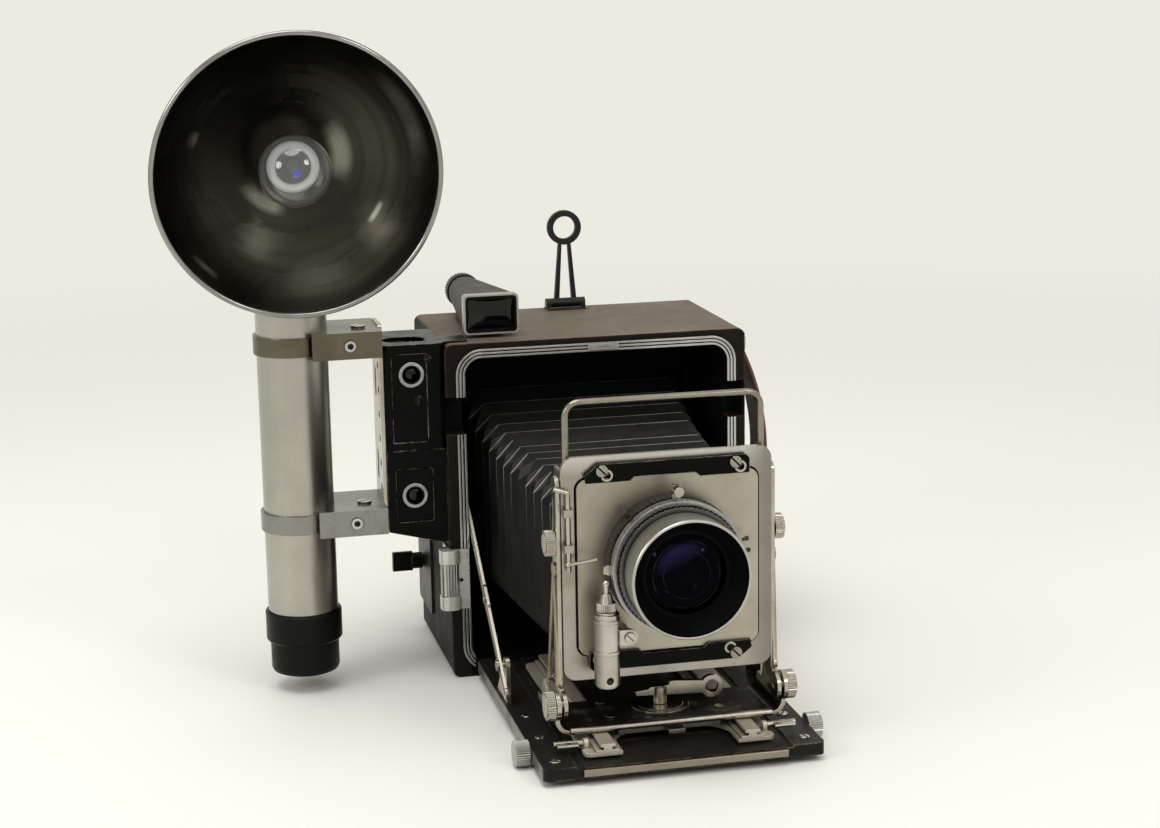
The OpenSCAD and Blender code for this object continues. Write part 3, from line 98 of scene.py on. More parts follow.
BED_THICK = 6.2 * MM
BRACE_PIN_OUT = 3.1 * MM
ARM_STRAP = 1.0 * MM
STANDARD_FLOOR = 17.5 * MM
BOARD_CORNER = 5 * MM
BEZEL_CORNER = 2 * MM
TRIM_WIDE = 4.6 * MM
TRIM_LIP = 1.6 * MM
NOTCH = (44.05 * MM, 24.65 * MM)
NOTCH_DEEP = 10.05 * MM
WINDOW_RIM = 2.3 * MM
STUD_HEAD = 1.3 * MM
STUD_OUT = 32 * MM
STUD_UP = 4.2 * MM
STUDS_REACH = 40 * MM
SLOT_RUN = 3.6 * MM
RING_BAND = 5.9 * MM
BARREL_FOOT = 5.7 * MM
BARREL_INSIDE = 26.7 * MM
RELEASE_HOLE = (4.4 * MM, 15.6 * MM)
CLAMP_HEAD = 1.2 * MM
CLAMP_TALL = 13.5 * MM
CLAMP_SCREW_OUT = 27 * MM
CLAMP_BORE = 1.55 * MM
BOWL_RIM = 12.0 * MM
LAMP_TILT = math.radians(8)
lamp_axis = Vector((0, -math.cos(LAMP_TILT), -math.sin(LAMP_TILT)))
bed_top = bed_low.z + BED_THICK
bed_half = bed_high.x - BRACE_PIN_OUT
window_radius = half_wide("rangefinder_rings") - WINDOW_RIM
window_rows = (rings_low.z + window_radius + WINDOW_RIM, rings_high.z - window_radius - WINDOW_RIM)
window_centres = [Vector((middle("rangefinder_rings").x, range_low.y, z)) for z in window_rows]

# Material building blocks


class Nodes:
    """A node tree, with short ways to add to it."""

    def __init__(self, tree):
        self.tree = tree

    def node(self, kind, **settings):
        made = self.tree.nodes.new(kind)
        for key, value in settings.items():
            setattr(made, key, value)
        return made

    def link(self, source, target):
        """Links a socket, or sets a constant; colours are given without their alpha."""
        if isinstance(source, (int, float, tuple, Vector)):
            target.default_value = (*source, 1.0) if target.type == "RGBA" else source
        else:
            self.tree.links.new(source, target)

    def fill(self, made, *sources):
        """Sets the first inputs of a node in their order, and gives its outputs."""
        for socket, source in zip(made.inputs, sources):
            self.link(source, socket)
        return made.outputs

    def feed(self, made, output, **sources):
        """Sets inputs of a node by name, and gives the named output."""
        for name, source in sources.items():
            self.link(source, made.inputs[name])
        return made.outputs[output]

    def math(self, operation, *sources):
        return self.fill(self.node("ShaderNodeMath", operation=operation), *sources)[0]

    def chain(self, operation, first, *others):
        for other in others:
            first = self.math(operation, first, other)
        return first

    def either(self, *sources):
        return self.chain("MAXIMUM", *sources)

    def times(self, *sources):
        return self.chain("MULTIPLY", *sources)

    def below(self, value, limit):
        return self.math("LESS_THAN", value, limit)

    def above(self, value, limit):
        return self.math("GREATER_THAN", value, limit)

    def remap(self, value, low, high, out_low=0.0, out_high=1.0):
        made = self.node("ShaderNodeMapRange")
        return self.fill(made, value, low, high, out_low, out_high)["Result"]

    def mix(self, factor, a, b, kind="RGBA"):
        return self.feed(self.node("ShaderNodeMix", data_type=kind), "Result", Factor=factor, A=a, B=b)

    def blend(self, factor, a, b):
        return self.mix(factor, a, b, "FLOAT")

    def mix_shaders(self, *sources):
        return self.fill(self.node("ShaderNodeMixShader"), *sources)[0]


class Paint(Nodes):
    """One node material: a shader and the few textures that vary it."""

    def __init__(self, name):
        self.material = bpy.data.materials.new(name)
        self.material.use_nodes = True
        super().__init__(self.material.node_tree)
        self.shader = self.tree.nodes["Principled BSDF"]
        self.place = self.node("ShaderNodeTexCoord").outputs["Object"]
        self.x, self.y, self.z = self.fill(self.node("ShaderNodeSeparateXYZ"), self.place)
        self.edge_masks = {}
        self.hollow = None

    def set(self, **values):
        for key, value in values.items():
            self.link(value, self.shader.inputs[key.replace("_", " ")])

    def noise(self, scale, detail=4.0, roughness=0.55, stretch=None):
        place = self.place
        if stretch:
            place = self.feed(self.node("ShaderNodeMapping"), "Vector", Vector=place, Scale=stretch)
        made = self.node("ShaderNodeTexNoise")
        return self.feed(made, "Fac", Vector=place, Scale=scale, Detail=detail, Roughness=roughness)

    def cells(self, scale):
        """Distance from the joints between small pebbles."""
        made = self.node("ShaderNodeTexVoronoi", feature="DISTANCE_TO_EDGE")
        return self.feed(made, "Distance", Vector=self.place, Scale=scale)

    def circles(self, value, scale):
        """Fine uneven lines that follow a distance, such as turning marks."""
        made = self.node("ShaderNodeTexNoise", noise_dimensions="1D")
        return self.feed(made, "Fac", W=value, Scale=scale)

    def vector_math(self, operation, *sources):
        return self.fill(self.node("ShaderNodeVectorMath", operation=operation), *sources)

    def along(self, point, direction):
        """Distance from a point of the part, measured along a direction."""
        away = self.vector_math("SUBTRACT", self.place, point)["Vector"]
        return self.vector_math("DOT_PRODUCT", away, direction)["Value"]

    def around(self, point, direction):
        """Distance from the line through a point along a direction."""
        away = self.vector_math("SUBTRACT", self.place, point)["Vector"]
        across = self.vector_math("CROSS_PRODUCT", away, direction)["Vector"]
        return self.vector_math("LENGTH", across)["Value"]

    def facing(self, direction):
        """Cosine between the surface's own normal and a direction of the part."""
        normal = self.node("ShaderNodeTexCoord").outputs["Normal"]
        return self.vector_math("DOT_PRODUCT", normal, direction)["Value"]

    def within(self, value, low, high):
        """1 where the value lies between two limits, 0 elsewhere."""
        return self.math("COMPARE", value, (low + high) / 2, (high - low) / 2)

    def outline(self, centre, half, corner):
        """Distance outside a rounded rectangle that faces forward."""
        squares = []
        for place, at, size in ((self.x, centre.x, half[0]), (self.z, centre.z, half[1])):
            away = self.math("ABSOLUTE", self.math("SUBTRACT", place, at))
            reach = self.either(self.math("SUBTRACT", away, size - corner), 0.0)
            squares.append(self.times(reach, reach))
        return self.math("SUBTRACT", self.math("SQRT", self.math("ADD", *squares)), corner)

    def corner_shade(self):
        """1 deep in the corners of a piece, 0 on its open faces; used to paint shade into the corners."""
        if self.hollow is None:
            shade = self.node("ShaderNodeAmbientOcclusion", samples=6, only_local=True)
            self.hollow = self.remap(self.feed(shade, "AO", Distance=CORNER_SHADE_REACH), 0.85, 0.4)
        return self.hollow

    def rounded(self, radius, samples):
        """Normal of the surface with its edges rounded."""
        return self.feed(self.node("ShaderNodeBevel", samples=samples), "Normal", Radius=radius)

    def edges(self, radius):
        """1 near sharp edges, 0 elsewhere."""
        if radius not in self.edge_masks:
            normal = self.node("ShaderNodeNewGeometry").outputs["Normal"]
            flat = self.vector_math("DOT_PRODUCT", self.rounded(radius, 6), normal)["Value"]
            self.edge_masks[radius] = self.remap(flat, 0.995, 0.82)
        return self.edge_masks[radius]

    def bump(self, height, strength, distance, soft=0.0):
        """Fine relief, over edges that are rounded by soft."""
        made = self.node("ShaderNodeBump")
        if soft:
            self.feed(made, "Normal", Normal=self.rounded(soft, 4))
        self.set(Normal=self.feed(made, "Normal", Strength=strength, Distance=distance, Height=height))
        return self.material


def darker(colour, share):
    return tuple(c * share for c in colour)


EDGE_ROUND = 0.4 * MM
# How far the shade painted into corners reaches
CORNER_SHADE_REACH = 2.2 * MM
GRAIN_DEEP = 0.2 * MM
NICKEL = ((0.46, 0.43, 0.375), (0.29, 0.255, 0.20), 0.2)
CHROME = ((0.48, 0.475, 0.46), (0.34, 0.33, 0.31), 0.14)
BRASS = ((0.40, 0.335, 0.23), (0.25, 0.195, 0.12), 0.26)
BLACK = (0.0018, 0.0018, 0.0020)
BLACK_SHINE = 0.1
PLAIN_SHINE = 0.5


class Coat:
    """Colour, metallic share and roughness of one finish, to be used alone or mixed with another."""

    def __init__(self, p, colour, metallic, roughness):
        self.p = p
        self.colour = colour
        self.metallic = metallic
        self.roughness = roughness

    def under(self, mask, other):
        """This finish, with the other one where the mask is 1."""
        p = self.p
        return Coat(p, p.mix(mask, self.colour, other.colour), p.blend(mask, self.metallic, other.metallic),
                    p.blend(mask, self.roughness, other.roughness))

    def relief(self, height, strength, deep=GRAIN_DEEP, soft=0.0, shine=PLAIN_SHINE):
        """The finished material, with fine relief over edges that are rounded by soft."""
        self.p.set(Base_Color=self.colour, Metallic=self.metallic, Roughness=self.roughness)
        self.p.set(Specular_IOR_Level=shine)
        return self.p.bump(height, strength, deep, soft)

    def grained(self, shine=PLAIN_SHINE):
        """The finished material, with a fine drawn-out grain."""
        grain = self.p.noise(900, 3, 0.6, (1.0, 1.0, 0.15))
        return self.relief(grain, 0.08, GRAIN_DEEP, EDGE_ROUND, shine)


def plated(p, base, stain, rough, scratch=0.3, metallic=1.0):
    """Plated or bare metal: stains, small dark specks, edges brightened by rubbing and by a painted
    highlight, and painted shade in the corners.
    """
    cloud = p.noise(38, 6, 0.6)
    speck = p.remap(p.noise(260, 5, 0.7), 0.58, 0.72)
    # Brighter edges: rubbed plating, and a painted highlight along them
    pale_and_lit = tuple(min(c * 1.55, 0.9) for c in base)
    colour = p.mix(p.remap(cloud, 0.42, 0.72, 0.0, 0.75), base, stain)
    colour = p.mix(p.times(speck, scratch), colour, darker(stain, 0.4))
    colour = p.mix(p.times(p.edges(EDGE_ROUND), 0.7), colour, pale_and_lit)
    # Painted shade: darker deep in the corners
    colour = p.mix(p.corner_shade(), colour, darker(stain, 0.2))
    return Coat(p, colour, metallic, p.remap(cloud, 0.3, 0.8, rough, rough + 0.12))


def lacquered(p, base, rough, wear=0.0, under=(0.30, 0.24, 0.16), edge=0.7 * MM):
    """Black lacquer with a little dust, scuffed through to the metal along its edges."""
    dust = p.remap(p.noise(520, 4, 0.7), 0.58, 0.82, 0.0, 0.3)
    colour = p.mix(dust, base, tuple(c * 2.2 + 0.006 for c in base))
    roughness = p.remap(p.noise(90, 5), 0.3, 0.75, rough, rough + 0.16)
    if wear == 0.0:
        return Coat(p, colour, 0.0, roughness)
    rub = p.times(p.edges(edge), p.remap(p.noise(160, 6, 0.7), 0.42, 0.6, 0.0, wear))
    return Coat(p, p.mix(rub, colour, under), p.times(rub, 0.8), roughness)


def metal(p, *finish):
    return plated(p, *finish).grained()


def black_paint(p, wear, base=BLACK, rough=0.3, shine=BLACK_SHINE, under=(0.28, 0.22, 0.15), edge=0.7 * MM):
    black = lacquered(p, base, rough, wear, under, edge)
    return black.relief(p.noise(1400, 2), 0.1, GRAIN_DEEP, EDGE_ROUND, shine)


def case_leather(p):
    """Pebbled brown-black leather, scuffed brown on the edges, with a paler top from dust and a painted
    sheen; the well inside the front is matt black.
    """
    well_half = trim_high.x - TRIM_WIDE + 0.1 * MM
    well = p.times(p.within(p.x, -well_half, well_half),
                   p.within(p.z, 0.5 * MM, trim_high.z - TRIM_WIDE + 0.1 * MM))
    notch = p.times(p.within(p.z, trim_high.z - NOTCH[0], trim_high.z - NOTCH[1]),
                    p.below(p.y, case_front + NOTCH_DEEP),
                    p.within(p.x, -case_high.x - MM, case_high.x - 0.2 * MM))
    inside = p.either(well, notch)
    pebble = p.cells(1100)
    grain = p.math("ADD", p.remap(pebble, 0.0, 0.35, 0.0, 0.8), p.times(p.noise(2600, 2), 0.3))
    tone = p.mix(p.noise(28, 6, 0.6), (0.0055, 0.0036, 0.0029), (0.015, 0.0092, 0.0068))
    tone = p.mix(p.remap(pebble, 0.0, 0.12, 0.5, 0.0), tone, (0.004, 0.003, 0.0025))
    rub = p.times(p.edges(1.6 * MM), p.remap(p.noise(70, 6, 0.7), 0.4, 0.62, 0.0, 0.8))
    tone = p.mix(rub, tone, (0.11, 0.063, 0.037))
    # Paler top faces: dust, and a painted sheen of the glancing light
    dust_and_sheen = p.times(p.remap(p.facing(UP), 0.6, 0.9), p.above(p.z, case_high.z - 4 * MM),
                    p.remap(p.noise(18, 6, 0.6), 0.25, 0.75, 0.55, 0.95))
    tone = p.mix(dust_and_sheen, tone, (0.18, 0.149, 0.118))
    tone = p.mix(inside, tone, (0.0012, 0.0012, 0.0014))
    rough = p.blend(inside, p.remap(p.noise(60, 5), 0.3, 0.7, 0.48, 0.64), 0.8)
    return Coat(p, tone, 0.0, rough).relief(grain, 0.4, 0.5 * MM, 2 * EDGE_ROUND, 0.12)


def strap_leather(p):
    """Saddle leather with crease lines across the bend."""
    crease = p.noise(420, 5, 0.6, (0.3, 0.3, 1.6))
    tone = p.mix(p.noise(45, 6), (0.12, 0.062, 0.033), (0.05, 0.028, 0.017))
    tone = p.mix(p.remap(crease, 0.55, 0.75, 0.0, 0.6), tone, (0.02, 0.012, 0.009))
    grain = p.math("ADD", crease, p.remap(p.cells(1500), 0, 0.3, 0, 0.5))
    return Coat(p, tone, 0.0, p.remap(crease, 0.3, 0.7, 0.42, 0.62)).relief(grain, 0.35, 0.4 * MM)


def coated_cloth(p, tone, rough):
    """Cloth of the bellows, with a faint weave."""
    rough = p.remap(p.noise(120, 4), 0.3, 0.7, rough, rough + 0.15)
    return Coat(p, tone, 0.0, rough).relief(p.noise(2400, 2), 0.15, 0.3 * MM, shine=0.14)


def bellows_cloth(p, dark, light, rough):
    """Black coated cloth with soft smears."""
    smear = p.noise(70, 6, 0.65, (1.0, 1.0, 0.4))
    return coated_cloth(p, p.mix(p.remap(smear, 0.3, 0.7), dark, light), rough)


def ridge_wear_and_highlight(p):
    """Folds of the bellows, paler towards the top from rubbing and from a painted highlight."""
    # Paler towards the top: rubbing, and a painted highlight of the light from above
    worn_and_lit = p.remap(p.z, lens_axis.z - 4 * MM, lens_axis.z + 23 * MM)
    worn_and_lit = p.times(worn_and_lit, p.remap(p.noise(110, 6, 0.65), 0.3, 0.65, 0.35, 1.0))
    return coated_cloth(p, p.mix(worn_and_lit, (0.011, 0.011, 0.011), (0.38, 0.375, 0.36)), 0.4)


def curtain_cloth(p):
    """Rubberised black silk."""
    tone = p.mix(p.noise(900, 3), (0.005, 0.005, 0.005), (0.016, 0.016, 0.017))
    rough = p.remap(p.noise(80), 0.3, 0.7, 0.6, 0.75)
    return Coat(p, tone, 0.0, rough).relief(p.noise(3000, 2), 0.15, shine=0.3)


def flash_alloy(p):
    """Scuffed satin tube: faint long marks down it and soft grey stains."""
    marks = p.remap(p.noise(300, 6, 0.75, (1.0, 1.0, 0.12)), 0.6, 0.74)
    cloud = p.noise(20, 6, 0.6)
    tone = p.mix(p.remap(cloud, 0.35, 0.7), (0.44, 0.425, 0.385), (0.33, 0.32, 0.285))
    tone = p.mix(p.times(marks, 0.4), tone, (0.22, 0.21, 0.195))
    rough = p.math("ADD", p.remap(cloud, 0.3, 0.75, 0.26, 0.36), p.times(marks, 0.1))
    return Coat(p, tone, 1.0, rough).relief(p.noise(90, 5, 0.6), 0.06, 0.5 * MM)


def trim_metal(p):
    """Polished ridges, darker in the grooves between them."""
    groove = p.remap(p.y, case_front - TRIM_LIP * 0.85, case_front - TRIM_LIP * 0.55)
    groove_dark = plated(p, (0.03, 0.028, 0.025), (0.015, 0.014, 0.012), 0.45)
    return plated(p, *CHROME, 0.15).under(groove, groove_dark).grained()


def bed_paint(p):
    """Black bed, scuffed brown along its edges, with bare side faces and plated brace ears."""
    black = lacquered(p, (0.013, 0.0123, 0.0115), 0.36, 1.0, (0.25, 0.16, 0.085), 1.3 * MM)
    ears = p.above(p.z, bed_top + 0.2 * MM)
    sides = p.above(p.math("ABSOLUTE", p.x), bed_half - 0.12 * MM)
    sides = p.times(sides, p.remap(p.noise(50, 6, 0.7), 0.36, 0.56, 0.2, 0.9))
    bare = plated(p, (0.33, 0.315, 0.285), (0.16, 0.15, 0.13), 0.34)
    worn_and_lit = black.under(sides, bare).under(ears, plated(p, *NICKEL))
    return worn_and_lit.relief(p.noise(1200, 2), 0.1, shine=BLACK_SHINE)


def base_plate(p):
    """Plated bracket whose floor is black between the bent-up sides."""
    rim = 7 * MM
    floor = p.times(p.within(p.z, STANDARD_FLOOR - 0.25 * MM, STANDARD_FLOOR + 0.25 * MM),
                    p.within(p.x, base_low.x + rim, base_high.x - rim), p.above(p.y, base_low.y + rim),
                    p.remap(p.noise(70, 6, 0.7), 0.32, 0.46, 0.75, 1.0))
    black = lacquered(p, (0.012, 0.010, 0.008), 0.35)
    return plated(p, *NICKEL).under(floor, black).grained(BLACK_SHINE)


def arm_plate(p):
    """Plated uprights with brass spreader straps on their outer faces."""
    strap = p.above(p.math("ABSOLUTE", p.x), arms_high.x - ARM_STRAP * 0.95)
    return plated(p, *NICKEL).under(strap, plated(p, *BRASS)).grained()


def clamp_plate(p):
    """Dull plated clamps, the upper one more tarnished, with bright screw heads."""
    low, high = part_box("flash_clamps")
    upper = p.above(p.z, (low.z + high.z) / 2)
    darkened = plated(p, (0.25, 0.243, 0.222), (0.17, 0.163, 0.143), 0.24)
    darkened = darkened.under(upper, plated(p, (0.14, 0.126, 0.09), (0.085, 0.075, 0.05), 0.24))
    heads = p.below(p.y, low.y + CLAMP_HEAD - 0.1 * MM)
    dark = None
    for top in (high.z - CLAMP_HEAD, low.z + CLAMP_TALL):
        heads = p.either(heads, p.within(p.z, top + 0.1 * MM, top + CLAMP_HEAD + 0.1 * MM))
        bore_at = Vector((middle("flash_tube").x + CLAMP_SCREW_OUT, low.y, top - CLAMP_TALL / 2))
        bore = p.times(p.below(p.around(bore_at, FORWARD), CLAMP_BORE), p.below(p.y, low.y + 2 * MM))
        cut = p.either(bore, p.within(p.z, top + 0.35 * MM, top + 1.05 * MM))
        dark = p.either(dark, cut) if dark else cut
    darkened = darkened.under(heads, plated(p, *CHROME))
    return darkened.under(dark, Coat(p, BLACK, 0.0, 0.5)).grained()


def ring_band(p):
    """Speed ring: a bright band next to the shutter, then black ribs."""
    ribs = p.below(p.y, ring_high.y - RING_BAND)
    bright = plated(p, (0.40, 0.40, 0.412), (0.30, 0.30, 0.305), 0.23)
    black = lacquered(p, BLACK, 0.34, 0.7, (0.35, 0.34, 0.32), 0.3 * MM)
    return bright.under(ribs, black).grained(BLACK_SHINE)


def barrel_finish(p):
    """Satin lens barrel with a dark ribbed foot and a matt black inside."""
    inside = p.below(p.around(lens_axis, FORWARD), BARREL_INSIDE)
    foot = p.above(p.y, barrel_high.y - BARREL_FOOT)
    black = lacquered(p, (0.001, 0.001, 0.0012), 0.5)
    dark = plated(p, (0.15, 0.145, 0.135), (0.08, 0.076, 0.07), 0.3)
    satin = plated(p, (0.46, 0.445, 0.415), (0.35, 0.34, 0.31), 0.3, 0.2)
    return satin.under(foot, dark).under(inside, black).grained(0.06)


def frame_plate(p):
    """Plated frame: a painted highlight along the top, painted shade down the right edge, a dark line round
    the board from dirt in the gap and painted shadow, stud heads with dark slots.
    """
    half = (board_high - board_low) / 2
    # Dark line round the board: dirt in the gap and painted shadow
    gap = p.within(p.outline(middle("lens_board"), (half.x, half.z), BOARD_CORNER), -0.1 * MM, 1.0 * MM)
    heads = p.times(p.within(p.x, -STUDS_REACH, STUDS_REACH), p.below(p.y, lock_front - 0.2 * MM))
    slots = p.times(heads, p.above(p.y, lock_front - STUD_HEAD + 0.12 * MM))
    # Painted highlight along the top
    pale_and_lit = p.remap(p.z, frame_high.z - 9 * MM, frame_high.z - MM)
    # Painted shade down the right edge
    darkened = p.remap(p.x, frame_high.x - 14 * MM, frame_high.x - 3 * MM, 0.0, 0.75)
    black = lacquered(p, BLACK, 0.5)
    stud = plated(p, (0.34, 0.32, 0.28), (0.20, 0.18, 0.15), 0.26)
    plate = plated(p, (0.37, 0.35, 0.31), (0.265, 0.245, 0.21), 0.25)
    plate.colour = p.mix(pale_and_lit, plate.colour, (0.54, 0.52, 0.475))
    plate.colour = p.mix(darkened, plate.colour, (0.20, 0.187, 0.16))
    return plate.under(gap, black).under(heads, stud).under(slots, black).grained(BLACK_SHINE)


def solenoid_metal(p):
    """Turned case: a painted highlight down its front and painted shade along its flanks."""
    # Painted light: the front left bright as a painted highlight, the flanks darkened as painted shade
    shaded_flank = p.remap(p.math("ABSOLUTE", p.facing(ACROSS)), 0.4, 0.95, 0.0, 0.85)
    bright = plated(p, (0.52, 0.50, 0.455), (0.28, 0.26, 0.22), 0.15)
    return bright.under(shaded_flank, plated(p, (0.11, 0.105, 0.095), (0.06, 0.056, 0.05), 0.2)).grained()


def release_metal(p):
    """Polished corner plate with a dark hole."""
    low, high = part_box("release_housing")
    hole_at = Vector((high.x - RELEASE_HOLE[0], low.y, low.z + RELEASE_HOLE[1]))
    hole = p.times(p.below(p.around(hole_at, FORWARD), MM), p.below(p.y, low.y + 4 * MM))
    polished = plated(p, (0.62, 0.61, 0.58), (0.46, 0.45, 0.42), 0.25, metallic=0.5)
    return polished.under(hole, lacquered(p, BLACK, 0.5)).grained(BLACK_SHINE)


def window_metal(p):
    """Bright window rings, black inside the bevel."""
    out = p.math("MINIMUM", *(p.around(centre, FORWARD) for centre in window_centres))
    inside = p.below(out, window_radius + 0.7 * MM)
    bright = plated(p, (0.36, 0.355, 0.345), (0.20, 0.196, 0.185), 0.18)
    return bright.under(inside, lacquered(p, BLACK, 0.4)).grained(BLACK_SHINE)


def bezel_metal(p):
    """Satin finder front with a black inner edge."""
    half = (bezel_high - bezel_low) / 2
    inside = p.outline(middle("viewfinder_bezel"), (half.x - MM, half.z - MM), BEZEL_CORNER)
    satin = plated(p, (0.40, 0.39, 0.375), (0.28, 0.275, 0.26), 0.25)
    return satin.under(p.below(inside, 0.0), lacquered(p, BLACK, 0.4)).grained(BLACK_SHINE)


# Painted bright reflections in the bowl: two angles in degrees and two shares of its radius
PAINTED_REFLECTIONS = (
    (-4, 54, 0.80, 0.93),
    (-28, 46, 0.27, 0.45),
    (205, 268, 0.28, 0.42),
    (162, 174, 0.66, 0.75),
    (212, 236, 0.88, 0.92),
    (-40, -24, 0.66, 0.70),
)


def reflection_patch(p, out, turn, patch):
    """Mask of one patch, with soft edges."""
    first, last = (math.radians(limit) for limit in patch[:2])
    soft_turn = 0.3 * (last - first)
    low, high = (limit * bowl_radius for limit in patch[2:])
    soft = 0.35 * (high - low)
    arc = p.times(p.remap(turn, first, first + soft_turn), p.remap(turn, last, last - soft_turn))
    return p.times(arc, p.times(p.remap(out, low, low + soft), p.remap(out, high, high - soft)))


def mirror(p):
    """Reflector: a mirror painted dark for the reflection of a dark room, with turning marks and painted
    bright reflections inside, satin outside, a dark rim.
    """
    rim = p.above(p.along(bulb_centre, lamp_axis), BOWL_RIM - 0.9 * MM)
    inside = p.above(p.facing(lamp_axis), 0.05)
    out = p.around(bulb_centre, lamp_axis)
    marks = p.remap(p.circles(out, 160), 0.3, 0.7, 0.45, 1.0)
    smear = p.times(p.remap(p.noise(13, 3, 0.5), 0.35, 0.7), marks)
    turn = p.math("ARCTAN2", p.along(bulb_centre, lamp_axis.cross(ACROSS)), p.along(bulb_centre, ACROSS))
    turn = p.math("ADD", turn, p.remap(p.noise(40, 3, 0.5), 0.2, 0.8, -0.18, 0.18))
    turn = p.math("ADD", turn, p.times(p.below(turn, math.radians(-90)), 2 * math.pi))
    uneven = p.remap(p.noise(60, 5, 0.6), 0.3, 0.7, 0.5, 1.0)
    # Painted reflection: the inside coloured dark for a dark room
    tone = p.mix(smear, (0.024, 0.022, 0.0165), (0.075, 0.07, 0.054))
    # Painted bright reflections in patches
    for patch in PAINTED_REFLECTIONS:
        tone = p.mix(p.times(reflection_patch(p, out, turn, patch), uneven), tone, (0.36, 0.345, 0.29))
    dim = Coat(p, tone, 1.0, p.remap(smear, 0, 1, 0.24, 0.36))
    dark = plated(p, (0.30, 0.295, 0.29), (0.18, 0.175, 0.17), 0.12)
    satin = plated(p, (0.50, 0.49, 0.465), (0.36, 0.35, 0.33), 0.28)
    dents = p.math("ADD", p.circles(out, 900), p.times(p.noise(24, 3), 5.0))
    return satin.under(inside, dim).under(rim, dark).relief(dents, 0.14, 0.4 * MM)


def lens_coating(p):
    """Lens glass painted dark for the dark inside seen through it, with a painted violet reflection, faint
    inner rings and flecks painted as highlights.
    """
    out = p.around(lens_axis, FORWARD)
    rings = p.either(p.within(out, 15.6 * MM, 16.0 * MM), p.within(out, 11.0 * MM, 11.2 * MM))
    rings = p.times(rings, p.remap(p.noise(90, 4), 0.45, 0.65))
    # Painted shade: the glass dark as the dark inside seen through it
    tone = p.mix(p.remap(out, 4 * MM, 15 * MM), (0.0010, 0.0010, 0.0022), (0.0008, 0.0008, 0.0011))
    # Painted violet reflection on the upper left of the glass
    violet_reflection = p.remap(p.along(lens_axis, Vector((-0.4, 0, 0.92))), 5 * MM, 14 * MM)
    tone = p.mix(p.times(p.remap(out, 15.5 * MM, 13 * MM), violet_reflection), tone, (0.020, 0.017, 0.062))
    # Small pale flecks: painted highlights
    tone = p.mix(p.remap(p.noise(330, 2, 0.4), 0.72, 0.80), tone, (0.07, 0.07, 0.085))
    tone = p.mix(rings, tone, (0.03, 0.03, 0.036))
    p.set(Specular_Tint=(0.66, 0.66, 1.0))
    rough = p.remap(p.noise(60), 0.4, 0.8, 0.03, 0.07)
    return Coat(p, tone, 0.0, rough).relief(p.noise(40), 0.01, shine=0.03)


def glass(p, tint, rough=0.02, transmission=1.0):
    """Clear glass with faint smears."""
    smear = p.noise(70, 6, 0.7)
    tone = p.mix(p.remap(smear, 0.4, 0.8, 0.0, 0.5), tint, darker(tint, 0.85))
    p.set(Transmission_Weight=transmission, IOR=1.5)
    return Coat(p, tone, 0.0, p.remap(smear, 0.45, 0.8, rough, rough + 0.06)).relief(smear, 0.02)


def plastic(p, base, rough, shine=0.3):
    """Moulded plastic with a fine orange-peel skin and dust."""
    dust = p.remap(p.noise(340, 6, 0.75), 0.6, 0.85, 0.0, 0.3)
    tone = p.mix(dust, base, tuple(c * 2.0 + 0.008 for c in base))
    rough = p.remap(p.noise(60, 5), 0.3, 0.7, rough, rough + 0.14)
    return Coat(p, tone, 0.0, rough).relief(p.noise(1200, 3), 0.1, shine=shine)


def printed_cell(p):
    """Plain red-brown battery jacket."""
    tone = p.mix(p.noise(200, 5), (0.26, 0.07, 0.04), (0.36, 0.12, 0.06))
    return Coat(p, tone, 0.25, p.remap(p.noise(50), 0.3, 0.7, 0.35, 0.5)).relief(p.noise(700), 0.1)


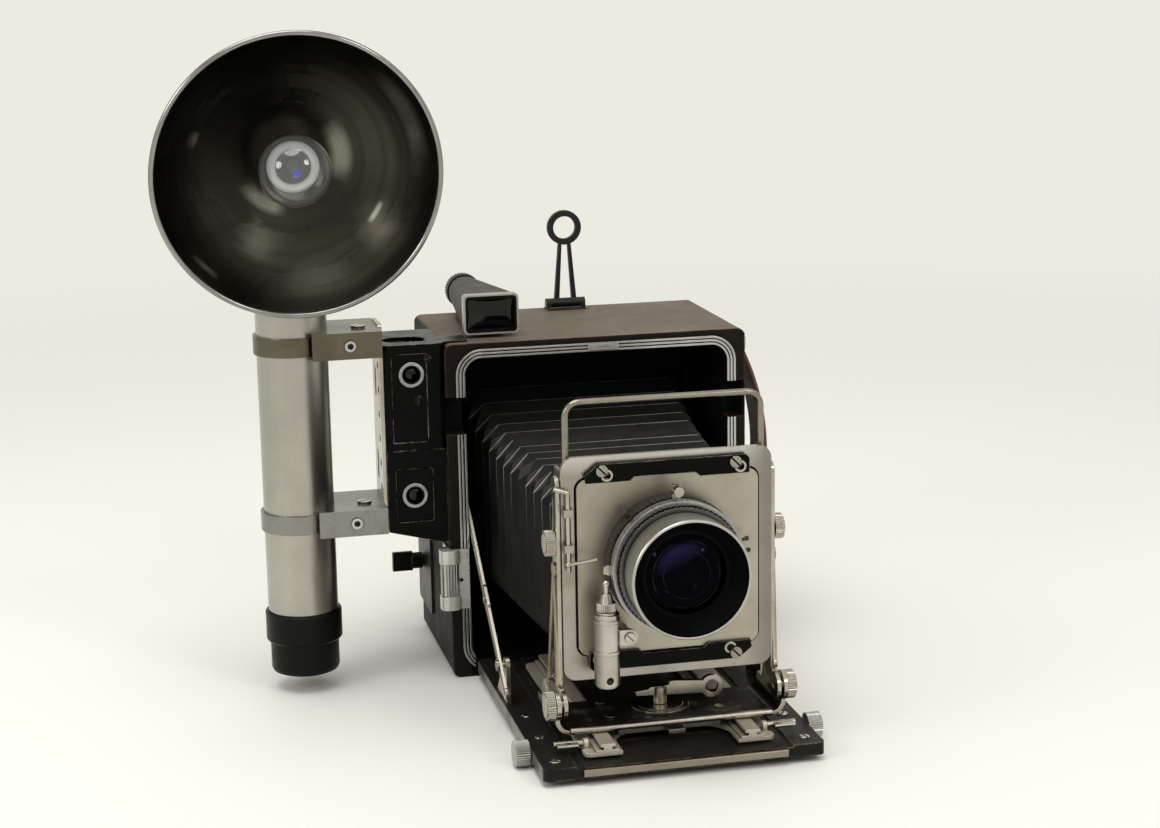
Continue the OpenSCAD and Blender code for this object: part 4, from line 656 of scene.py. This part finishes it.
# Each look: the function that makes it and what that is given; one named after a node is its own
LOOKS = {
    "leather": (case_leather,),
    "hand_strap": (strap_leather,),
    "bellows_cloth": (bellows_cloth, (0.0035, 0.0034, 0.0034), (0.0125, 0.012, 0.0115), 0.5),
    "bellows_ridge": (ridge_wear_and_highlight,),
    # Upper corner facets of the bellows: paler cloth as a painted highlight
    "bellows_lit_corner": (bellows_cloth, (0.02, 0.0195, 0.019), (0.055, 0.053, 0.05), 0.45),
    "curtain_cloth": (curtain_cloth,),
    "black_paint": (black_paint, 0.7),
    "black_alloy": (black_paint, 0.6, (0.008, 0.008, 0.0085), 0.34, 0.28),
    # Rangefinder and board locks: edges rubbed pale, and bright enough to be a painted edge highlight as well
    "rangefinder_housing": (black_paint, 0.9, BLACK, 0.18, 0.07, (0.46, 0.42, 0.35), 0.5 * MM),
    "viewfinder_body": (black_paint, 0.7, (0.046, 0.040, 0.034), 0.4, BLACK_SHINE, (0.34, 0.30, 0.24), MM),
    "bed": (bed_paint,),
    "standard_base": (base_plate,),
    "standard_arms": (arm_plate,),
    "flash_clamps": (clamp_plate,),
    "front_trim": (trim_metal,),
    "shutter_ring": (ring_band,),
    "lens_barrel": (barrel_finish,),
    "mirror": (mirror,),
    "chrome": (metal, *CHROME),
    "solenoid_body": (solenoid_metal,),
    "release_housing": (release_metal,),
    "focus_track": (metal, (0.60, 0.555, 0.47), (0.42, 0.38, 0.31), 0.3, 0.3, 0.5),
    "nickel": (metal, *NICKEL),
    "bed_edge_strip": (metal, (0.30, 0.275, 0.23), (0.18, 0.157, 0.122), 0.2),
    "lens_board": (metal, (0.42, 0.385, 0.315), (0.34, 0.31, 0.245), 0.33, 0.2),
    "lens_frame": (frame_plate,),
    "rangefinder_rings": (window_metal,),
    "viewfinder_bezel": (bezel_metal,),
    "steel": (metal, (0.42, 0.41, 0.395), (0.29, 0.28, 0.26), 0.26),
    "brass": (metal, *BRASS, 0.4),
    "alloy": (metal, (0.54, 0.53, 0.50), (0.43, 0.415, 0.385), 0.26),
    "flash_tube": (flash_alloy,),
    "glass": (glass, (0.92, 0.95, 0.95)),
    # Window glass painted black: painted shade for the dark inside seen through it
    "finder_windows": (plastic, (0.001, 0.001, 0.0012), 0.03),
    "coated_glass": (lens_coating,),
    "frosted_glass": (glass, (0.80, 0.83, 0.80), 0.55, 0.6),
    "black_plastic": (plastic, (0.0024, 0.0024, 0.0026), 0.3, 0.14),
    "cell": (printed_cell,),
    "thread": (plastic, (0.20, 0.15, 0.09), 0.6),
    "bulb_glass": (glass, (0.97, 0.98, 0.98), 0.01, 0.97),
    "bulb_ring": (plastic, (0.72, 0.72, 0.73), 0.35),
    "bulb_dark": (plastic, (0.012, 0.012, 0.013), 0.3),
    "bulb_dot": (plastic, (0.03, 0.03, 0.6), 0.3),
    "mark": (plastic, (0.01, 0.01, 0.011), 0.5),
}
# Nodes that look like another node; the rest have the look of their material slot
ALIKE = {
    "rangefinder_cover": "rangefinder_housing",
    "upper_board_lock": "rangefinder_housing",
    "lower_board_lock": "rangefinder_housing",
    "wire_finder": "bed_edge_strip",
    "solenoid_plunger": "solenoid_body",
}
materials = {name: make(Paint(name), *given) for name, (make, *given) in LOOKS.items()}
slot_of_node = {entry["node"]: entry["material_slot"] for entry in frame["record"]["subparts"]}
for name, solid in nodes.items():
    look = ALIKE.get(name, name if name in LOOKS else slot_of_node[name])
    solid.data.materials.clear()
    solid.data.materials.append(materials[look])

# Mesh building blocks


def piece(name, shape, body, material, smooth=True, outward=True, placed=Matrix()):
    """A finished shape as a piece that rides on a body, with its faces turned outward where asked."""
    if outward:
        bmesh.ops.recalc_face_normals(shape, faces=shape.faces)
    mesh = bpy.data.meshes.new(name)
    shape.to_mesh(mesh)
    shape.free()
    mesh.transform(placed)
    made = bpy.data.objects.new(name, mesh)
    scene.collection.objects.link(made)
    mesh.materials.append(materials[material])
    if smooth:
        mesh.shade_smooth()
        mesh.set_sharp_from_angle(angle=math.radians(32))
    if body:
        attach(made, body)
    return made


def standing(at, axis):
    """Placement that takes the origin to a point and +Z to an axis."""
    return Matrix.Translation(at) @ Vector(axis).to_track_quat("Z", "Y").to_matrix().to_4x4()


def skin(shape, rings, closed=True):
    """Faces between rings, or between open lines; a ring of one point is a tip."""
    for near, far in zip(rings, rings[1:]):
        count = max(len(near), len(far))
        for k in range(count if closed else count - 1):
            n = (k + 1) % count
            corners = [ring[i % len(ring)] for ring, i in ((near, k), (near, n), (far, n), (far, k))]
            unique = list(dict.fromkeys(corners))
            if len(unique) > 2:
                shape.faces.new(unique)


def solid(shape, outlines):
    """Closed solid through outlines of points."""
    rings = [[shape.verts.new(point) for point in outline] for outline in outlines]
    skin(shape, rings)
    shape.faces.new(rings[0][::-1])
    shape.faces.new(rings[-1])


def in_mm(profile):
    return [(radius * MM, height * MM) for radius, height in profile]


def turned(name, profile, at, axis, body, material, steps=32):
    """Piece made by turning (radius, height) points about an axis."""
    shape = bmesh.new()
    turns = [2 * math.pi * k / steps for k in range(steps)]
    rings = []
    for radius, height in profile:
        points = [(radius * math.cos(a), radius * math.sin(a), height) for a in turns]
        if radius < 1e-6:
            points = [(0, 0, height)]
        rings.append([shape.verts.new(point) for point in points])
    skin(shape, rings)
    return piece(name, shape, body, material, placed=standing(at, axis))


SCREW_HIGH = 0.7 * MM


def slotted_screw(name, at, axis, radius, body, angle, material="nickel"):
    """Domed screw head with a cut slot, standing on the point at."""
    shape = bmesh.new()
    steps = 20
    width = radius * 0.16
    for side in (-1, 1):
        outlines = []
        for share, level in ((1.0, 0.0), (1.0, 0.55), (0.86, 0.9), (0.5, 1.0)):
            r = radius * share
            reach = math.acos(min(1.0, width / r))
            turns = [math.pi / 2 - reach + 2 * reach * k / steps for k in range(steps + 1)]
            outlines.append([(r * math.cos(a), side * r * math.sin(a), SCREW_HIGH * level) for a in turns])
        solid(shape, outlines)
    reach = radius * 0.98
    floor = [(reach, -width), (reach, width), (-reach, width), (-reach, -width)]
    shape.faces.new([shape.verts.new((x, y, SCREW_HIGH * 0.35)) for x, y in floor])
    placed = standing(at, axis) @ Matrix.Rotation(angle, 4, "Z")
    mesh = piece(name, shape, body, material, placed=placed).data
    mesh.materials.append(materials["mark"])
    mesh.polygons[-1].material_index = 1


# Camera at the photograph's angle

IMAGE_WIDTH = 1160
FOCAL_PIXELS = 2228.92
SENSOR = 36.0
VIEW_AZIMUTH = math.radians(-12.98)
VIEW_ELEVATION = math.radians(12.14)
VIEW_ROLL = math.radians(-0.99)
VIEW_DISTANCE = 1.16002
view_target = Vector((-0.00957, case_front, 0.13756))


def place_camera():
    camera = bpy.data.objects.new("camera", bpy.data.cameras.new("camera"))
    scene.collection.objects.link(camera)
    camera.data.sensor_width = SENSOR
    camera.data.lens = SENSOR * FOCAL_PIXELS / IMAGE_WIDTH
    camera.data.clip_start = 0.01
    turn = Matrix.Rotation(VIEW_AZIMUTH, 4, "Z") @ Matrix.Rotation(math.pi / 2 - VIEW_ELEVATION, 4, "X")
    turn = turn @ Matrix.Rotation(VIEW_ROLL, 4, "Z")
    camera.matrix_world = Matrix.Translation(view_target) @ turn @ Matrix.Translation(UP * VIEW_DISTANCE)
    scene.camera = camera


place_camera()

# Floor, light and background

BACKDROP = (0.84, 0.83, 0.755, 1.0)
FLOOR_HALF = 4.0
FLOOR_FADE = (0.55, 1.5)
BACK_LIGHT = (-0.3, 0.5)
TOP_LIGHT = (0.3, 0.85)
DIM_ROOM = 0.4
LAMP_COLOUR = (1.0, 0.975, 0.94)
# Name, place, aim, size and power of each lamp
LAMPS = (
    ("top_light", (-0.3, -0.35, 1.5), (0, -0.1, 0.1), 1.0, 9.5),
    ("front_light", (0.8, -1.4, 1.2), (0, -0.1, 0.1), 0.5, 4.8),
    ("left_light", (-1.3, -0.7, 0.8), (0, -0.1, 0.15), 0.5, 4),
)


def pale_floor():
    """Pale floor that runs out into the backdrop's colour, away from the object."""
    mesh = bpy.data.meshes.new("floor")
    mesh.from_pydata([(FLOOR_HALF * x, FLOOR_HALF * y, 0) for x, y in SQUARE], [], [(0, 1, 2, 3)])
    floor = bpy.data.objects.new("floor", mesh)
    scene.collection.objects.link(floor)
    p = Paint("floor_paint")
    p.set(Base_Color=p.mix(p.noise(3, 3), (0.86, 0.86, 0.845), (0.84, 0.84, 0.825)))
    p.set(Roughness=0.6, Specular_IOR_Level=0.2)
    far = p.node("ShaderNodeEmission")
    far.inputs["Color"].default_value = BACKDROP
    fade = p.remap(p.around((0, 0, 0), UP), *FLOOR_FADE)
    surface = p.mix_shaders(fade, p.shader.outputs[0], far.outputs[0])
    p.link(surface, p.tree.nodes["Material Output"].inputs["Surface"])
    mesh.materials.append(p.material)


def area_light(name, at, aim, size, power):
    lamp = bpy.data.lights.new(name, "AREA")
    lamp.shape = "DISK"
    lamp.size = size
    lamp.energy = power
    lamp.color = LAMP_COLOUR
    made = bpy.data.objects.new(name, lamp)
    made.location = at
    made.rotation_euler = (Vector(aim) - Vector(at)).to_track_quat("-Z", "Y").to_euler()
    scene.collection.objects.link(made)


def studio():
    """Cream backdrop for the eye, in metal and in glass; its light falls mainly from above and behind."""
    world = bpy.data.worlds.new("studio")
    scene.world = world
    world.use_nodes = True
    room = Nodes(world.node_tree)
    seen = room.tree.nodes["Background"]
    light = room.node("ShaderNodeBackground")
    for shader in (seen, light):
        shader.inputs["Color"].default_value = BACKDROP
    towards = room.node("ShaderNodeTexCoord").outputs["Generated"]
    parts = room.fill(room.node("ShaderNodeSeparateXYZ"), towards)
    behind = room.remap(parts["Y"], *BACK_LIGHT, DIM_ROOM)
    above = room.remap(parts["Z"], *TOP_LIGHT, DIM_ROOM)
    room.link(room.either(behind, above), light.inputs["Strength"])
    rays = room.node("ShaderNodeLightPath").outputs
    shows = room.either(*(rays[f"Is {kind} Ray"] for kind in ("Camera", "Glossy", "Transmission")))
    surface = room.mix_shaders(shows, light.outputs[0], seen.outputs[0])
    room.link(surface, room.tree.nodes["World Output"].inputs["Surface"])
    for lamp in LAMPS:
        area_light(*lamp)


pale_floor()
studio()
scene.view_settings.view_transform = "Standard"

# Bellows in five stretches; the ridges are rounded, and paler from rubbing and from painted highlight; the
# upper corners carry a painted highlight

PLEATS = 15
PLEAT_DEPTH = 6 * MM
RINGS = 2 * PLEATS
SIDES = 8
CLOTH = 0.8 * MM
RIDGE_ROUND = 0.3 * MM
BELLOWS_REAR = 61 * MM
BELLOWS_FRONT = 45.5 * MM
BELLOWS_UP = (49 * MM, 30.7 * MM)
BELLOWS_DOWN = 55 * MM
TOP_SWEEP = 5.5
CORNER = (1.5 * MM, 6 * MM)
# Name, first and last ring, and the two bodies of each stretch
SPANS = (
    ("bellows_rear", 0, 11, ("case", "bed")),
    ("bellows_middle", 11, 16, ("bed", "track")),
    ("bellows_front", 16, 21, ("track", "standard")),
    ("bellows_tilt", 21, 26, ("standard", "arms")),
    ("bellows_rise", 26, 29, ("arms", "front")),
)
bellows_low, bellows_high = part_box("bellows")


def ring_place(i):
    return bellows_high.y + (bellows_low.y - bellows_high.y) * i / (RINGS - 1)


def ring_outline(i, depth):
    """Eight points of one ring; the sides are at a ridge where the top and bottom are at a valley."""
    left = 1 - i / (RINGS - 1)
    side_fold = PLEAT_DEPTH if i % 2 else 0.0
    top_fold = PLEAT_DEPTH - side_fold
    w = BELLOWS_FRONT + (BELLOWS_REAR - BELLOWS_FRONT) * left - side_fold - depth
    up = BELLOWS_UP[1] + (BELLOWS_UP[0] - BELLOWS_UP[1]) * left ** TOP_SWEEP - top_fold - depth
    down = top_fold - BELLOWS_DOWN + depth
    cx, cz = CORNER
    outline = [(w, down + cz), (w, up - cz), (w - cx, up), (cx - w, up),
               (-w, up - cz), (-w, down + cz), (cx - w, down), (w - cx, down)]
    return [(x, ring_place(i), lens_axis.z + z) for x, z in outline]


def ridge_edges(i, ring, after):
    """Ends of the folds that stand proud at ring i: its own ridges and the creases to the next ring."""
    top_ridge = i % 2 == 1
    own = ((2, 3), (6, 7)) if top_ridge else ((0, 1), (4, 5))
    creases = ((2, 1), (3, 4), (6, 5), (7, 0)) if top_ridge else ((1, 2), (4, 3), (5, 6), (0, 7))
    return [(ring[a], ring[b]) for a, b in own] + [(ring[a], after[b]) for a, b in creases]


def corner_facets(i, k, near, far):
    """The two facets of corner k between ring i and the next, creased the way the folds lie."""
    n = (k + 1) % SIDES
    if (k in (1, 5)) == (i % 2 == 1):
        return (near[k], far[k], near[n]), (far[k], far[n], near[n])
    return (near[k], far[k], far[n]), (near[k], far[n], near[n])


def bellows_piece(name, first, last, bodies):
    """Stretch of the bellows between two ring numbers."""
    shape = bmesh.new()
    numbers = range(first, last + 1)
    outer, inner = ([[shape.verts.new(point) for point in ring_outline(i, depth)] for i in numbers]
                    for depth in (0.0, CLOTH))
    for rings in (outer, inner):
        for i, near, far in zip(numbers, rings, rings[1:]):
            for k in range(0, SIDES, 2):
                shape.faces.new((near[k], near[k + 1], far[k + 1], far[k]))
                for corners in corner_facets(i, k + 1, near, far):
                    # The upper corner facets take the paler cloth: painted highlight
                    shape.faces.new(corners).material_index = 2 if k in (0, 2) else 0
    for end_at in (0, -1):
        skin(shape, (outer[end_at], inner[end_at]))
    bmesh.ops.recalc_face_normals(shape, faces=shape.faces)
    proud = []
    for i, ring, after in zip(numbers[1:], outer[1:-1], outer[2:]):
        folds = [shape.edges.get(ends) for ends in ridge_edges(i, ring, after)]
        proud += [edge for edge in folds if edge]
    made = bmesh.ops.bevel(shape, geom=proud, offset=RIDGE_ROUND, offset_type="OFFSET", segments=2,
                           profile=0.5, affect="EDGES")
    shape.faces.index_update()
    pale_and_lit = [face.index for face in made["faces"]]
    cloth = piece(name, shape, None, "bellows_cloth", smooth=False, outward=False)
    mesh = cloth.data
    mesh.materials.append(materials["bellows_ridge"])
    mesh.materials.append(materials["bellows_lit_corner"])
    for index in pale_and_lit:
        mesh.polygons[index].material_index = 1
    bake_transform(cloth)
    return cloth


for span in SPANS:
    stretch = bellows_piece(*span)
    if stretch.name == "bellows_rear":
        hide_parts("bellows")

# Hand strap: an arched leather band with rounded edges and two rows of stitches

STRAP_THICK = 2.6 * MM
STRAP_EDGE = 0.9 * MM
STRAP_STEPS = 48
STITCH_PITCH = 3.4 * MM
STITCH_INSET = 2.6 * MM
STITCH_SIZE = Matrix.Diagonal((0.35 * MM, 0.38 * MM, 1.15 * MM, 1))
strap_low, strap_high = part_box("hand_strap")


def strap_arc():
    """Centre, radius and half angle of the strap's inner face, from its solid."""
    half = (strap_high.z - strap_low.z) / 2
    bulge = strap_high.x - strap_low.x - STRAP_THICK
    radius = (half * half + bulge * bulge) / (2 * bulge)
    centre = Vector((strap_high.x - STRAP_THICK - radius, 0, (strap_low.z + strap_high.z) / 2))
    return centre, radius, math.asin(half / radius)


def strap_point(centre, radius, angle, y):
    return Vector((centre.x + radius * math.cos(angle), y, centre.z + radius * math.sin(angle)))


def build_strap(centre, radius, reach):
    low, high = strap_low.y, strap_high.y
    face = (low + STRAP_EDGE, (low + high) / 2, high - STRAP_EDGE)
    section = [(0.0, y) for y in face]
    section += [(STRAP_EDGE, high), (STRAP_THICK - STRAP_EDGE, high)]
    section += [(STRAP_THICK, y) for y in reversed(face)]
    section += [(STRAP_THICK - STRAP_EDGE, low), (STRAP_EDGE, low)]
    angles = [-reach + 2 * reach * k / STRAP_STEPS for k in range(STRAP_STEPS + 1)]
    shape = bmesh.new()
    solid(shape, [[strap_point(centre, radius + depth, a, y) for depth, y in section] for a in angles])
    strap = piece("strap", shape, "case", "hand_strap")
    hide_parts("hand_strap")


def strap_stitches(centre, radius, reach):
    """Short thread bumps along both edges of the strap's outer face."""
    count = int(2 * reach * radius / STITCH_PITCH)
    shape = bmesh.new()
    for row in (strap_low.y + STITCH_INSET, strap_high.y - STITCH_INSET):
        for k in range(1, count):
            angle = -reach + 2 * reach * k / count
            at = Matrix.Translation(strap_point(centre, radius + STRAP_THICK, angle, row))
            placed = at @ Matrix.Rotation(-angle, 4, "Y") @ STITCH_SIZE
            bmesh.ops.create_uvsphere(shape, u_segments=6, v_segments=4, radius=1.0, matrix=placed)
    piece("strap_stitches", shape, "case", "thread", outward=False)


build_strap(*strap_arc())
strap_stitches(*strap_arc())

# Curtain: two leaves of cloth with a slit between them

HALF_SLIT = 6 * MM
CURTAIN_COLUMNS = 20
SLIT_COLUMNS = (2, CURTAIN_COLUMNS - 2)
curtain_low, curtain_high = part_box("focal_curtain")


def build_curtain():
    width = curtain_high.x - curtain_low.x
    middle_y = (curtain_low.y + curtain_high.y) / 2
    mid = (curtain_low.z + curtain_high.z) / 2
    slit = (mid - HALF_SLIT, mid + HALF_SLIT)
    bands = [
        (curtain_low.z, slit[0], 0, CURTAIN_COLUMNS),
        (slit[1], curtain_high.z, 0, CURTAIN_COLUMNS),
        (*slit, 0, SLIT_COLUMNS[0]),
        (*slit, SLIT_COLUMNS[1], CURTAIN_COLUMNS),
    ]
    shape = bmesh.new()
    for z0, z1, *columns in bands:
        x0, x1 = (curtain_low.x + width * k / CURTAIN_COLUMNS for k in columns)
        corners = [(x0, z0), (x1, z0), (x1, z1), (x0, z1)]
        shape.faces.new([shape.verts.new((x, middle_y, z)) for x, z in corners])
    bmesh.ops.remove_doubles(shape, verts=shape.verts, dist=1e-6)
    made = piece("curtain", shape, "case", "curtain_cloth", outward=False)
    thick = made.modifiers.new("thickness", "SOLIDIFY")
    thick.thickness = (curtain_high.y - curtain_low.y) * 0.8
    thick.offset = 0
    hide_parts("focal_curtain")


build_curtain()

# Flash bulb: a hollow globe on a metal base, with a pale collar, a dark dish, a metal stem and a blue dot

GLOBE_STEPS = 18
BULB_NECK = 9.0 * MM
BULB_WALL = 0.8 * MM
BULB_BASE = 9.3 * MM
BULB_SEAT = 26 * MM
COLLAR_RADIUS = 10.8 * MM
COLLAR_HALF = 2.2 * MM
COLLAR_AT = -9 * MM
DISH_THICK = 1 * MM
STEM = ((0.0, 4.0), (1.2, 3.6), (1.6, -2.0), (3.6, -8.0), (0.0, -8.0))
DOT = ((0.0, 8.0), (1.5, 7.4), (2.0, 6.2), (1.4, 5.2), (0.0, 4.2))


def lamp_turned(name, profile, material, steps=32):
    return turned(name, profile, bulb_centre, lamp_axis, "case", material, steps)


def build_bulb():
    neck_angle = math.asin(BULB_NECK / bulb_radius)
    globe = [(0.0, bulb_radius)]
    for k in range(1, GLOBE_STEPS + 1):
        a = (math.pi - neck_angle) * k / GLOBE_STEPS
        globe.append((bulb_radius * math.sin(a), bulb_radius * math.cos(a)))
    thin = BULB_WALL / bulb_radius
    inner = [(r * (1 - thin), h * (1 - thin)) for r, h in reversed(globe)]
    shell = lamp_turned("bulb_glass", globe + inner, "bulb_glass", 48)
    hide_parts("flash_bulb")
    top = -bulb_radius * math.cos(neck_angle) + 1.5 * MM
    base = [(0.0, top), (BULB_NECK * 0.8, top), (BULB_BASE, top - 1.5 * MM), (BULB_BASE, 3 * MM - BULB_SEAT),
            (BULB_BASE * 0.8, MM - BULB_SEAT), (BULB_BASE * 0.8, -BULB_SEAT), (0.0, -BULB_SEAT)]
    lamp_turned("bulb_base", base, "alloy")
    turns = [2 * math.pi * k / 12 for k in range(13)]
    collar = [(COLLAR_RADIUS + COLLAR_HALF * math.cos(a), COLLAR_AT + COLLAR_HALF * math.sin(a))
              for a in turns]
    lamp_turned("bulb_collar", collar, "bulb_ring", 40)
    under = COLLAR_AT - DISH_THICK
    dish = [(0.0, COLLAR_AT), (COLLAR_RADIUS, COLLAR_AT), (COLLAR_RADIUS, under), (0.0, under)]
    lamp_turned("bulb_dish", dish, "bulb_dark", 40)
    lamp_turned("bulb_stem", in_mm(STEM), "alloy")
    lamp_turned("bulb_dot", in_mm(DOT), "bulb_dot")


build_bulb()

# Small screws, on the faces that carry them

SCREW_LIFT = 0.05 * MM
BED_SCREW = 2.6 * MM
BED_SCREW_INSET = 7.5 * MM
BED_SCREW_ROWS = (93 * MM, 124 * MM, 157 * MM)
# Place across, height and radius in millimetres
FINDER_SCREWS = ((-88.7, 171.5, 2.0), (-93.9, 150.1, 2.6))


def bed_screws():
    side = bed_half - BED_SCREW_INSET
    places = [(x, case_front - row) for x in (-side, side) for row in BED_SCREW_ROWS]
    for k, (x, y) in enumerate(places):
        at = Vector((x, y, bed_top + SCREW_LIFT))
        slotted_screw(f"bed_screw_{k}", at, UP, BED_SCREW, "bed", 0.5 + 0.9 * k)


def finder_screws():
    """Black screws on the front of the rangefinder."""
    for k, (x, z, radius) in enumerate(FINDER_SCREWS):
        at = Vector((x * MM, range_low.y - SCREW_LIFT, z * MM))
        slotted_screw(f"finder_screw_{k}", at, FORWARD, radius * MM, "case", 0.4 + k,
                      "black_paint")


bed_screws()
finder_screws()

# Dark index lines round the bright band of the speed ring

MARKS = 10
FIRST_MARK = 20
MARK_STEP = 15.5
MARK_HALF = 0.16 * MM
MARK_LONG = (1.7 * MM, 1.3 * MM)
MARK_SUNK = 0.02 * MM
MARK_PROUD = 0.05 * MM
# Share of its width and of its height at each level of a line, whose top edges slope
MARK_LEVELS = ((1.0, 0.0), (1.0, 0.6), (0.8, 1.0))


def ring_direction(degrees):
    angle = math.radians(degrees)
    return Vector((math.cos(angle), 0, math.sin(angle)))


def speed_marks():
    shape = bmesh.new()
    band_at = Vector((lens_axis.x, ring_high.y - RING_BAND * 0.62, lens_axis.z))
    for k in range(MARKS):
        out = ring_direction(FIRST_MARK + MARK_STEP * k)
        at = band_at + out * (ring_radius - MARK_SUNK)
        across = out.cross(FORWARD) * MARK_HALF
        along = FORWARD * MARK_LONG[1 if k % 3 else 0]
        solid(shape, [[at + (across * a + along * b) * share + out * (MARK_PROUD * level) for a, b in SQUARE]
                      for share, level in MARK_LEVELS])
    piece("speed_marks", shape, "speed_ring", "mark", smooth=False)


speed_marks()

# Window glasses, bulged so that they catch the lamps, painted black for the dark inside seen through them

DOME_STEPS = 6
DOME_GAP = 0.15 * MM
DOME_BULGE = 1.3 * MM
DOME_SEAT = 1.55 * MM
LENS_INSET = (2.6 * MM, 3.1 * MM)
LENS_SEAT = 2.35 * MM
LENS_BULGE = 1.7 * MM
LENS_GRID = (14, 10)


def window_domes():
    edge = window_radius - DOME_GAP
    shares = [1 - k / DOME_STEPS for k in range(DOME_STEPS + 1)]
    profile = [(edge * share, DOME_BULGE * (1 - share * share)) for share in shares]
    for k, centre in enumerate(window_centres):
        at = Vector((centre.x, range_low.y + DOME_SEAT, centre.z))
        turned(f"window_glass_{k}", profile, at, FORWARD, "case", "finder_windows")


def finder_lens():
    """Bulged oblong glass behind the finder's bright front."""
    wide = (bezel_high.x - bezel_low.x) / 2 - LENS_INSET[0]
    tall = (bezel_high.z - bezel_low.z) / 2 - LENS_INSET[1]
    at = middle("viewfinder_bezel")
    seat = bezel_low.y + LENS_SEAT
    columns, rows = LENS_GRID
    shape = bmesh.new()
    grid = []
    for v in (2 * j / rows - 1 for j in range(rows + 1)):
        line = []
        for u in (2 * i / columns - 1 for i in range(columns + 1)):
            bulge = LENS_BULGE * (1 - u * u) * (1 - v * v)
            line.append(shape.verts.new((at.x + wide * u, seat - bulge, at.z + tall * v)))
        grid.append(line)
    skin(shape, grid, closed=False)
    piece("finder_lens", shape, "case", "finder_windows")


window_domes()
finder_lens()

# Small fittings of the lens: sync posts, a stop post and the bright rims of the lock slots

POST_BACK = 10.4 * MM
SYNC_PIN = ((0.0, -1.0), (0.8, -1.0), (0.8, 4.0), (1.1, 4.2), (1.1, 5.6), (0.7, 6.0), (0.0, 6.0))
STOP_KNOB = ((0.0, -1.0), (0.9, -1.0), (0.9, 1.0), (1.7, 1.4), (1.9, 2.2), (1.7, 3.0), (1.0, 3.4), (0.0, 3.5))
POSTS = ((13, SYNC_PIN), (4, SYNC_PIN), (133, STOP_KNOB))
RIM_SECTION = ((1.85, 0.0), (3.0, 0.0), (2.75, 0.18), (1.85, 0.18))
RIM_REACH = 120
RIM_STEPS = 20


def shutter_posts():
    foot = Vector((lens_axis.x, lens_axis.y + POST_BACK, lens_axis.z))
    for k, (degrees, profile) in enumerate(POSTS):
        out = ring_direction(degrees)
        at = foot + out * ring_radius
        turned(f"shutter_post_{k}", in_mm(profile), at, out, "front", "viewfinder_body", 20)


def slot_rim(shape, centre, along):
    """Flat horseshoe round the end of a slot, with a sloping outer edge."""
    across = along.cross(FORWARD)
    outlines = []
    for k in range(RIM_STEPS + 1):
        a = math.radians(2 * RIM_REACH * k / RIM_STEPS - RIM_REACH)
        out = along * math.cos(a) + across * math.sin(a)
        outlines.append([centre + out * r + FORWARD * h for r, h in in_mm(RIM_SECTION)])
    solid(shape, outlines)


def lock_rims():
    """Bright scuffed rims of the slanting slots, thin enough to pass under the stud heads."""
    for side, edge, up in (("upper", board_high.z, 1), ("lower", board_low.z, -1)):
        slope = Vector((1, 0, -1)).normalized() * up
        shape = bmesh.new()
        for sx in (-1, 1):
            stud_at = Vector((sx * STUD_OUT, lock_front, edge + up * STUD_UP))
            slot_rim(shape, stud_at + slope * SLOT_RUN, slope)
        piece(f"{side}_lock_rims", shape, f"{side}_lock", "nickel", smooth=False)


shutter_posts()
lock_rims()
